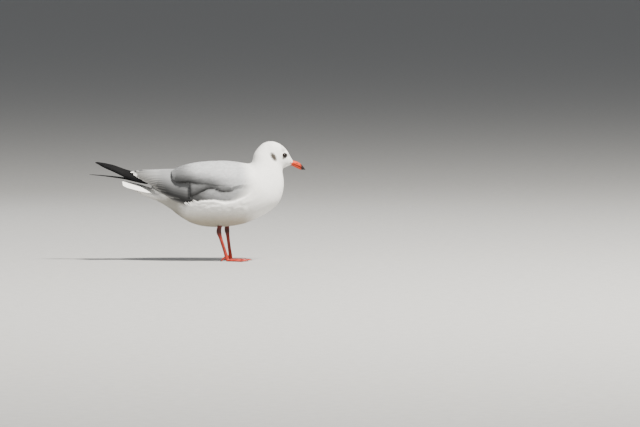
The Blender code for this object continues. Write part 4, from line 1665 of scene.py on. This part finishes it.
# %% Places on a face
def plate_face(rows, x, share, side):
    """Places on the outer face of a plate, the way out, and its height from edge to edge."""
    upper_y, upper_z, lower_y, lower_z, bow, thick = (read_table(x, rows, index) for index in range(1, 7))
    run_y, run_z = lower_y - upper_y, lower_z - upper_z
    length = np.hypot(run_y, run_z)
    if rows is TAIL:
        out_y, out_z, folded = np.zeros_like(length), np.ones_like(length), 0
    else:
        # Past the upper edge the face folds in flat over the back.
        out_y, out_z, folded = -run_z / length, run_y / length, np.maximum(-share, 0) * length
        share = np.maximum(share, 0)
    arch = np.sin(math.pi * np.clip(share, 0, 1))
    out = bow * arch + thick * 0.5 * (0.25 + 0.75 * np.sqrt(np.maximum(arch, 0)))
    y = (upper_y + run_y * share + out_y * out - folded) * side
    z = upper_z + run_z * share + out_z * out - folded * 0.25
    points = np.stack([DRAWN_X + x * MM, y * MM, z * MM], -1)
    return points, np.stack([np.zeros_like(x), out_y * side, out_z], -1), length


face_height = plate_face(TERTIALS, np.array([-100.0]), 0, LEFT)[2][0]
print(f"the folded wing's face is {face_height:.0f} mm high at x -100")

# %% [markdown]
# ## Quills
# Each blade is a thin closed sheet, with a shaft, two curved vanes and a rounded tip. It is laid on its
# face from a root to a tip, and lies a little proud of the one it laps over. A list of roots and tips is
# all that a new fan of quills needs.

# %% Lay one quill on a face
QUILL, QUILL_FACES = closed_sheet(8, 22)
QUILL[:, 0] = np.sin(QUILL[:, 0] * math.pi / 2)
QUILL[:, 1] = 1 - (1 - QUILL[:, 1]) ** 1.6
QUILL_THICK = 0.28
SHAFT_HEIGHT, SHAFT_WIDTH = 0.35, 0.09
BARB_SLANT = 0.25
LOWEST_SHARE = 1.02


def blade(rows, side, root_x, root_share, tip_x, tip_share, half, lift, blunt):
    """Places of one quill over a face, and its map in millimetres."""
    aside, along, top = QUILL.T
    half_at = half * outline(along, blunt)
    x = root_x + (tip_x - root_x) * along
    share = root_share + (tip_share - root_share) * along
    _, _, length = plate_face(rows, x, share, side)
    shares = np.minimum(share + aside * half_at / length, LOWEST_SHARE)
    slant = np.abs(aside) * half_at * BARB_SLANT
    points, outs, _ = plate_face(rows, x + slant * (along < 0.9), shares, side)
    ridge = SHAFT_HEIGHT * np.exp(-((aside / SHAFT_WIDTH) ** 2)) * (1 - along * 0.8)
    camber = -0.5 * aside**2 * half_at / 6
    level = lift + ridge * top + camber + (top - 1) * QUILL_THICK * (1 - 0.6 * along)
    run = np.stack([aside * half_at, along * abs(tip_x - root_x)], 1)
    return points, points + outs * (level * MM)[:, None], run


print(f"a quill has {len(QUILL)} points and {len(QUILL_FACES)} faces")


# %% A fan of quills
def blades(name, rows, side, plan, node, tint_of, blunt=0.72, material=plumage):
    """Quills over a face. The plan lists root x and share, tip x and share, half width and lift."""
    aside, along, top = QUILL.T
    strip = 0.9 / len(plan)
    places, tints, feathers, runs, bakes = [], [], [], [], []
    for number, row in enumerate(plan):
        flat, raised, run = blade(rows, side, *row, blunt)
        places.append(raised)
        runs.append(run)
        tints.append(tint_of(aside, along, flat))
        feathers.append(np.stack([aside, along, np.full_like(aside, (number * 0.37) % 1)], 1))
        across = strip * (number + 0.5 + 0.42 * aside * np.where(top > 0, 1, 0.96))
        bakes.append(np.stack([0.02 + 0.96 * along, 0.05 + across], 1))
    faces = QUILL_FACES if side > 0 else [face[::-1] for face in QUILL_FACES]
    mesh, corners = joined(np.array(places), faces)
    set_tint(mesh, np.concatenate(tints))
    set_feather(mesh, np.concatenate(feathers))
    set_map(mesh, "OFBake", np.concatenate(bakes)[corners])
    set_map(mesh, "Vane", np.concatenate(runs)[corners])
    made = show(mesh, name, material, crease=VANE_CREASE)
    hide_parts(node)
    print(f"{name}: {len(plan)} quills, {len(mesh.polygons)} faces")
    return made


print("a fan takes a face and a plan")

# %% [markdown]
# ## Secondaries and tertials
# Over the rump the hindmost secondaries and the tertials close the folded wing. Fourteen quills lie from
# the lower edge up, each over the one below. They are grey, with painted shade that is darkest low down,
# and the tips of the uppermost are edged with white.

# %% Secondaries and tertials
SECONDARIES = 14
SECONDARY_TIPS = (
    (-0.04, -158), (0.1, -177), (0.3, -171), (0.5, -172), (0.62, -158), (0.8, -132), (0.95, -104),
)


def tertial_tint(aside, along, points):
    """Grey with painted shade, darkest at the lower edge, with pale edges and white tips."""
    x, _, z = on_drawing(points)
    above = z - read_table(x, QUILL_EDGE)
    # Painted shade: darkest low on the folded wing, and a little darker near the overhanging scapulars.
    shade = (0.055 + 0.75 * ease(above, 9, 45)) * (1 - 0.12 * ease(x, -112, -84))
    white_tip = 0.8 * ease(along, 0.93, 0.965) * ease(x, -140, -158) * ease(z, 162, 158)
    pale = np.clip(0.2 * ease(aside, 0.6, 0.95) + white_tip, 0, 1)
    return blend(GREY * 1.08 * shade[:, None], WHITE, pale)


SECONDARY_PLAN = []
for layer, share in enumerate(np.linspace(0.9, -0.04, SECONDARIES)):
    tip_x, half = read_table(share, SECONDARY_TIPS), 8.2 - 2.6 * (1 - share)
    SECONDARY_PLAN.append((-62, share * 0.92, tip_x, min(share, 0.86), half, -3.6 + 0.34 * layer))
quill_trees = {}
for name, side in SIDES.items():
    made = blades(f"tertials_and_secondaries_{name}", TERTIALS, side, SECONDARY_PLAN,
                  f"tertials_{name}", tertial_tint)
    mesh = made.data
    mesh_places = [v.co for v in mesh.vertices]
    quill_trees[side] = BVHTree.FromPolygons(mesh_places, [f.vertices for f in mesh.polygons])

# %% [markdown]
# ## Loose feathers of the flank
# At the hind end of the flank some long white feathers hang loose over the dark lower edge of the wing. A
# ray from the side finds what each of them lies on, the form or a quill, and lifts it just clear. They
# throw dice of their own, so that a change in the coat doesn't move them.

# %% Loose flank feathers
TIP_DICE = np.random.default_rng(7)
TIPS_PER_SIDE = 19
TIPS_FRONT, TIPS_RUN = -52, 26
TIP_STEPS = 6
OUTSIDE = 80


def flank_line(side, share):
    """The line of one loose feather, a little clear of what it lies on."""
    x = TIPS_FRONT - TIPS_RUN * share + TIP_DICE.normal(0, 0.7)
    back, up = TIP_DICE.uniform(8, 13), TIP_DICE.uniform(6, 9)
    z = float(read_table(x, FLANK_EDGE)) - TIP_DICE.uniform(5.5, 8.5)
    line = []
    for step in np.linspace(0, 1, TIP_STEPS):
        start = drawn(x - back * step, OUTSIDE * side, z + up * step**1.3)
        hits = [tree.ray_cast(start, Vector((0, -side, 0)))[0] for tree in (form_tree, quill_trees[side])]
        reach = max(abs(hit.y) for hit in hits if hit)
        line.append((start.x, side * (reach + (0.05 + 0.65 * step) * MM), start.z))
    return line


lines = [flank_line(side, share) for side in (LEFT, RIGHT) for share in np.linspace(0, 1, TIPS_PER_SIDE)]
outs = np.repeat([(0.0, LEFT, 0.0), (0.0, RIGHT, 0.0)], TIPS_PER_SIDE, 0)
loose_tufts("flank_tips", np.array(lines), outs, half=0.9 * MM, thick=0.22 * MM)

# %% [markdown]
# ## Primaries
# The black wing tips are six primaries a side, stacked under the tertials. The right wing's tip lies
# high over the left one's. They are black, with hardly any gloss and a trace of white at the very tip.

# %% Primaries
BLACK = np.array((0.004, 0.004, 0.0045))


def primary_tint(aside, along, points):
    """Black, with a trace of white at the tip."""
    return blend(BLACK, WHITE * 0.4, 0.05 * ease(along, 0.985, 1))


# Rows are each quill's tip: x and share of the face's height.
RIGHT_TIPS = ((-240, 0.35), (-236, 0.55), (-224, 0.62), (-211, 0.66), (-198, 0.7), (-187, 0.72))
LEFT_TIPS = ((-250, 0.4), (-245, 0.5), (-232, 0.55), (-218, 0.6), (-204, 0.65), (-191, 0.7))
for name, side, rows, tips in (
    ("right", RIGHT, PRIMARIES_RIGHT, RIGHT_TIPS),
    ("left", LEFT, PRIMARIES_LEFT, LEFT_TIPS),
):
    plan = [(-134, 0.36 + 0.05 * layer, *tip, 5.8 - 0.25 * layer, -2.6 + 0.2 * layer)
            for layer, tip in enumerate(tips)]
    blades(f"primaries_{name}_wing", rows, side, plan, f"primaries_{name}", primary_tint,
           blunt=0.55, material=dark_quill)

# %% [markdown]
# ## Tail
# A gull has twelve tail feathers, six a side, with the middle pair on top. They are white, with broad
# blunt tips. Each has a slightly darker shaft, and painted shade along its edges tells one from the next.

# %% Tail
TAIL_PAIRS = 6


def tail_tint(aside, along, points):
    """White, a little darker at the shaft, with painted shade at the edges."""
    # Painted shade along both edges of each feather; the darker shaft is its own colour.
    shade = 1 - 0.16 * ease(np.abs(aside), 0.75, 1) - 0.1 * np.exp(-((aside / 0.1) ** 2))
    return WHITE * shade[:, None]


TAIL_PLAN = []
for pair in range(TAIL_PAIRS):
    for hand in (1, -1):
        root, tip = 0.5 + hand * (0.04 + 0.035 * pair), 0.5 + hand * (0.045 + 0.082 * pair)
        TAIL_PLAN.append((-112, root, -192.4 + 0.5 * pair, tip, 6.6, -0.2 - 0.26 * pair))
blades("tail_feathers", TAIL, LEFT, TAIL_PLAN, "tail", tail_tint, blunt=0.9)
print(f"quills laid, {time.time() - STARTED:.1f} s")

# %% [markdown]
# ## Horn
# Bill and claws are sheathed in horn: smooth, a little glossy, and finely streaked. A plain red plastic
# would look new, so streaks of noise vary the tone and raise a slight relief. Red and black are in the
# tint of each piece.

# %% Horn
RED = np.array((0.5, 0.036, 0.003))
HORN_BLACK = np.array((0.018, 0.012, 0.012))
horn, tree, shader = node_material(
    "bill_horn", 0.38, Coat_Weight=0.08, Coat_Roughness=0.25, Specular_IOR_Level=0.35
)
streaks = noise_on(tree, 900)
toned_tint(tree, shader, remap(tree, streaks, 0.3, 0.7, 0.86, 1.08))
bump(tree, shader, streaks, 0.00008, 0.5)
print("horn ready")

# %% [markdown]
# ## Bill
# The bill is two horny sheaths, the upper hooked over the lower. Each could be carved from a block. It
# is surer to loft it: a few rows give the ridge, the cutting edge and the width, a smooth curve fills in
# rows between them, and each row becomes a ring of points. The nostril is a slit pressed into the side
# of the upper sheath.

# %% Rows of the bill
# Rows are x, the ridge's z, the cutting edge's z and half width.
BILL_UPPER = (
    (111, 179.6, 173.6, 4.2), (114, 178.4, 172.6, 3.9), (118, 177.5, 170.8, 3.5), (122, 176, 169.1, 3.1),
    (126, 173.7, 167.2, 2.7), (130, 170.4, 165, 2.1), (133.4, 166.3, 162.9, 1.4), (135.5, 163.2, 161.5, 0.7),
    (136.3, 161.4, 160.9, 0.25),
)
# Rows are x, the cutting edge's z, the keel's z and half width.
BILL_LOWER = (
    (109, 174.4, 169.6, 3.7), (111.5, 173.9, 169.2, 3.5), (115, 172.6, 167.6, 3.3), (119, 170.9, 165.7, 2.9),
    (123, 169.2, 163.8, 2.4), (126.5, 167.6, 162.4, 1.8), (129.5, 165.9, 161.9, 1.25),
    (132.4, 164.1, 162, 0.7), (134, 163.1, 162.1, 0.3),
)


def curve_through(rows, per_row):
    """Rows between the given ones, on a smooth curve through them."""
    table = np.array(rows, float)
    padded = np.vstack([2 * table[0] - table[1], table, 2 * table[-1] - table[-2]])
    made = []
    for a, b, c, d in zip(padded, padded[1:], padded[2:], padded[3:]):
        for t in np.arange(per_row) / per_row:
            bent = (2 * a - 5 * b + 4 * c - d) * t * t + (3 * b - a - 3 * c + d) * t**3
            made.append(0.5 * (2 * b + (c - a) * t + bent))
    return np.array(made + [table[-1]])


print(f"the bill runs from x {BILL_UPPER[0][0]} to {BILL_UPPER[-1][0]}")

# %% Sheaths of the bill
RING_POINTS = 15
EDGE_POINTS = (-0.75, -0.4, 0, 0.4, 0.75)
NOSTRIL_X, NOSTRIL_RISE, NOSTRIL_DEPTH = 120.2, 3.2, 0.75


def in_nostril(x, above_edge, long, tall):
    """1 in the middle of the nostril's slit, falling to 0 round it."""
    rise = above_edge - NOSTRIL_RISE + 0.1 * (x - 120)
    return np.exp(-(((x - NOSTRIL_X) / long) ** 2) - (rise / tall) ** 2)


def bill_ring(x, edge, ridge, half):
    """Half an ellipse from the cutting edge to the ridge or the keel, closed along the edge."""
    ring = []
    upper = ridge > edge
    for angle in np.linspace(0, math.pi, RING_POINTS):
        y = half * math.copysign(abs(math.cos(angle)) ** 0.9, math.cos(angle))
        z = edge + (ridge - edge) * math.sin(angle) ** 0.92
        if upper:
            y -= math.copysign(NOSTRIL_DEPTH * in_nostril(x, z - edge, 1.9, 0.62), y)
        ring.append((x, y, z))
    sag = 0.5 if upper else -0.3
    return ring + [(x, half * aside, edge + sag * (1 - aside * aside)) for aside in EDGE_POINTS]


sheaths = [
    [bill_ring(x, edge, ridge, half) for x, ridge, edge, half in curve_through(BILL_UPPER, 6)],
    [bill_ring(x, edge, keel, half) for x, edge, keel, half in curve_through(BILL_LOWER, 5)],
]
print("rings of the bill:", [len(sheath) for sheath in sheaths])

# %% [markdown]
# ## Gape
# The gape is the red corner of the mouth, a thin wedge of skin that runs from the bill back into the
# face. A ray from the side finds the face's surface, and a thin tube is laid along it.

# %% Gape
# Rows are x, z and half height.
GAPE = (
    (105, 175.2, 0.15), (106, 175, 0.35), (107.5, 174.7, 0.6), (109.3, 174.2, 0.85), (111, 173.7, 0.95),
    (113, 173.1, 0.8), (114.5, 172.6, 0.3),
)
GAPE_THICK = 0.42
FEATHERS_END = 112
aside_way = HEAD_TURN @ Vector((0, 1, 0))


def gape_aside(x, z, side):
    """How far from the head's middle the gape lies: on the face, then along the bill."""
    if x >= FEATHERS_END:
        return 3.6 - 0.35 * (x - 113)
    hit = form_tree.ray_cast(drawn(*turned(x, 30 * side, z)), aside_way * -side)[0]
    on_face = abs(unturned(np.array([hit]))[1][0]) if hit else 3.4
    return max(on_face + 0.1, 3.7)


def gape(side):
    """Rings of the tube along one corner of the mouth."""
    rings = []
    for x, z, tall in GAPE:
        middle = (x, side * gape_aside(x, z, side), z)
        rings.append(oval(middle, (0, side * GAPE_THICK, 0), (0, 0, tall), 12))
    return rings


gapes = [gape(LEFT), gape(RIGHT)]
print(f"gape {GAPE[-1][0] - GAPE[0][0]:.1f} mm long")

# %% [markdown]
# The sheaths and the gape are turned with the head and joined. The bill is red, black at its tip and
# along the cutting edge near it, and dark in the nostrils. The red of the upper sheath is a little lighter
# towards its ridge, as painted light from above.

# %% One bill
bill_parts = []
for rings in sheaths + gapes:
    part = add_tube(bmesh.new(), [[drawn(*turned(*point)) for point in ring] for ring in rings])
    bill_parts.append(as_mesh(part, "part"))
bill_mesh = as_mesh(one_bmesh(bill_parts), "bill")
x, y, z = unturned(mesh_points(bill_mesh))
above_edge = z - read_table(x, BILL_UPPER, 2)
black_tip = ease(x + 0.1 * (z - 166), 126, 129.6)
black_edge = 0.75 * ease(np.abs(above_edge), 0.75, 0.15) * ease(x, 118, 124)
nostrils = in_nostril(x, above_edge, 1.7, 0.5) * (np.abs(y) > 1.2)
# Painted light: the red grows a little lighter from the cutting edge up to the ridge.
tone = 0.95 + 0.08 * ease(above_edge, 1, 6)
dark = np.maximum.reduce([black_tip, black_edge, nostrils])
set_tint(bill_mesh, blend(RED * tone[:, None], HORN_BLACK, dark))
bill = show(bill_mesh, "bill", horn)
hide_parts("bill_upper", "bill_lower")
print(f"bill of {len(bill_mesh.polygons)} faces")

# %% [markdown]
# ## Claws
# The claws are small dark cones of the same horn, each lofted from ovals over the end of its toe. Three
# toes point forwards, and the small hind toe has a claw too. They bend down to the floor, so no point of
# them goes below it.

# %% Claws
# Length and outward angle in degrees of the front toes.
TOES = ((23, -27), (34, 3), (31, 33))
# Rows are distance ahead, height and radius.
CLAW = (
    (-1.2, 1.7, 0.9), (-0.3, 1.8, 1.45), (1.2, 1.6, 1.35), (2.8, 1.25, 1.0), (4.1, 0.85, 0.62),
    (4.9, 0.5, 0.25),
)
HIND_CLAW = (
    (-9.6, 2.1, 1.2), (-10.6, 1.45, 1.25), (-11.4, 1.0, 0.95), (-12.2, 0.62, 0.55), (-12.8, 0.35, 0.25),
)
CLAW_FLOOR = 0.02


def claw(x, y, angle, rows):
    """A cone along an angle from a place on the floor."""
    way = np.array((math.cos(angle), math.sin(angle), 0))
    across = np.array((-way[1], way[0], 0)) * 0.85
    rings = []
    for ahead, height, radius in rows:
        ring = oval(np.array((x, y, height)) + way * ahead, across * radius, (0, 0, radius), 12)
        rings.append([drawn(px, py, max(pz, CLAW_FLOOR)) for px, py, pz in ring])
    return as_mesh(add_tube(bmesh.new(), rings), "claw")


claw_parts = []
for side, (ankle_x, ankle_y) in ANKLES.items():
    for length, degrees in TOES:
        angle = math.radians(degrees) * side
        reach = length - 2
        end = ankle_x + 1 + reach * math.cos(angle), ankle_y + reach * math.sin(angle)
        claw_parts.append(claw(*end, angle, CLAW))
    claw_parts.append(claw(ankle_x, ankle_y, 0, HIND_CLAW))
claw_mesh = as_mesh(one_bmesh(claw_parts), "claws")
set_tint(claw_mesh, np.tile(HORN_BLACK * 1.4, (len(claw_mesh.vertices), 1)))
claws = show(claw_mesh, "claws", horn)
print(f"claws of {len(claw_mesh.polygons)} faces")

# %% [markdown]
# ## Eyes
# Each eyeball is a sphere as deep as a real one, with a dark brown iris about a black pupil that is
# hardly told apart from it. The lids close over all but a disc of it. A wet gloss gives it life, and
# fine flecks keep the brown from looking flat.

# %% Eyes
PUPIL = np.array((0.004, 0.0035, 0.003))
IRIS = np.array((0.013, 0.006, 0.003))
eye_glaze, tree, shader = node_material(
    "eye_glaze", 0.06, Coat_Weight=0.12, Coat_Roughness=0.02, Specular_IOR_Level=0.3
)
toned_tint(tree, shader, remap(tree, noise_on(tree, 1600), 0.3, 0.7, 0.6, 1.3))
for name, side in SIDES.items():
    bm = bmesh.new()
    bmesh.ops.create_uvsphere(bm, u_segments=40, v_segments=24, radius=EYE_RADIUS)
    facing = facing_out(side)
    for vert in bm.verts:
        vert.co = facing @ vert.co + eye_middles[side]
    mesh = as_mesh(bm, "eye")
    cosines = ((mesh_points(mesh) - np.array(eye_middles[side])) @ np.array(eye_axes[side])) / EYE_RADIUS
    set_tint(mesh, blend(PUPIL, IRIS, ease(cosines, 0.93, 0.9) * ease(cosines, 0.6, 0.68)))
    eye = show(mesh, f"eyeball_{name}", eye_glaze)
    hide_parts(f"eye_{name}")
print(f"eyes made, {time.time() - STARTED:.1f} s")

# %% [markdown]
# ## Measure and finish
# The dressed bird has to keep the size of the imported model. How far its box reaches past the
# imported model's on each side is printed in millimetres, and the last line prints the time taken.

# %% Finish
low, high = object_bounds()
grown_low = [round((cad - own) / MM, 1) for cad, own in zip(CAD_LOW, low)]
grown_high = [round((own - cad) / MM, 1) for cad, own in zip(CAD_HIGH, high)]
print("grew by (mm)", grown_low, grown_high)
print(f"script took {time.time() - STARTED:.1f} s")
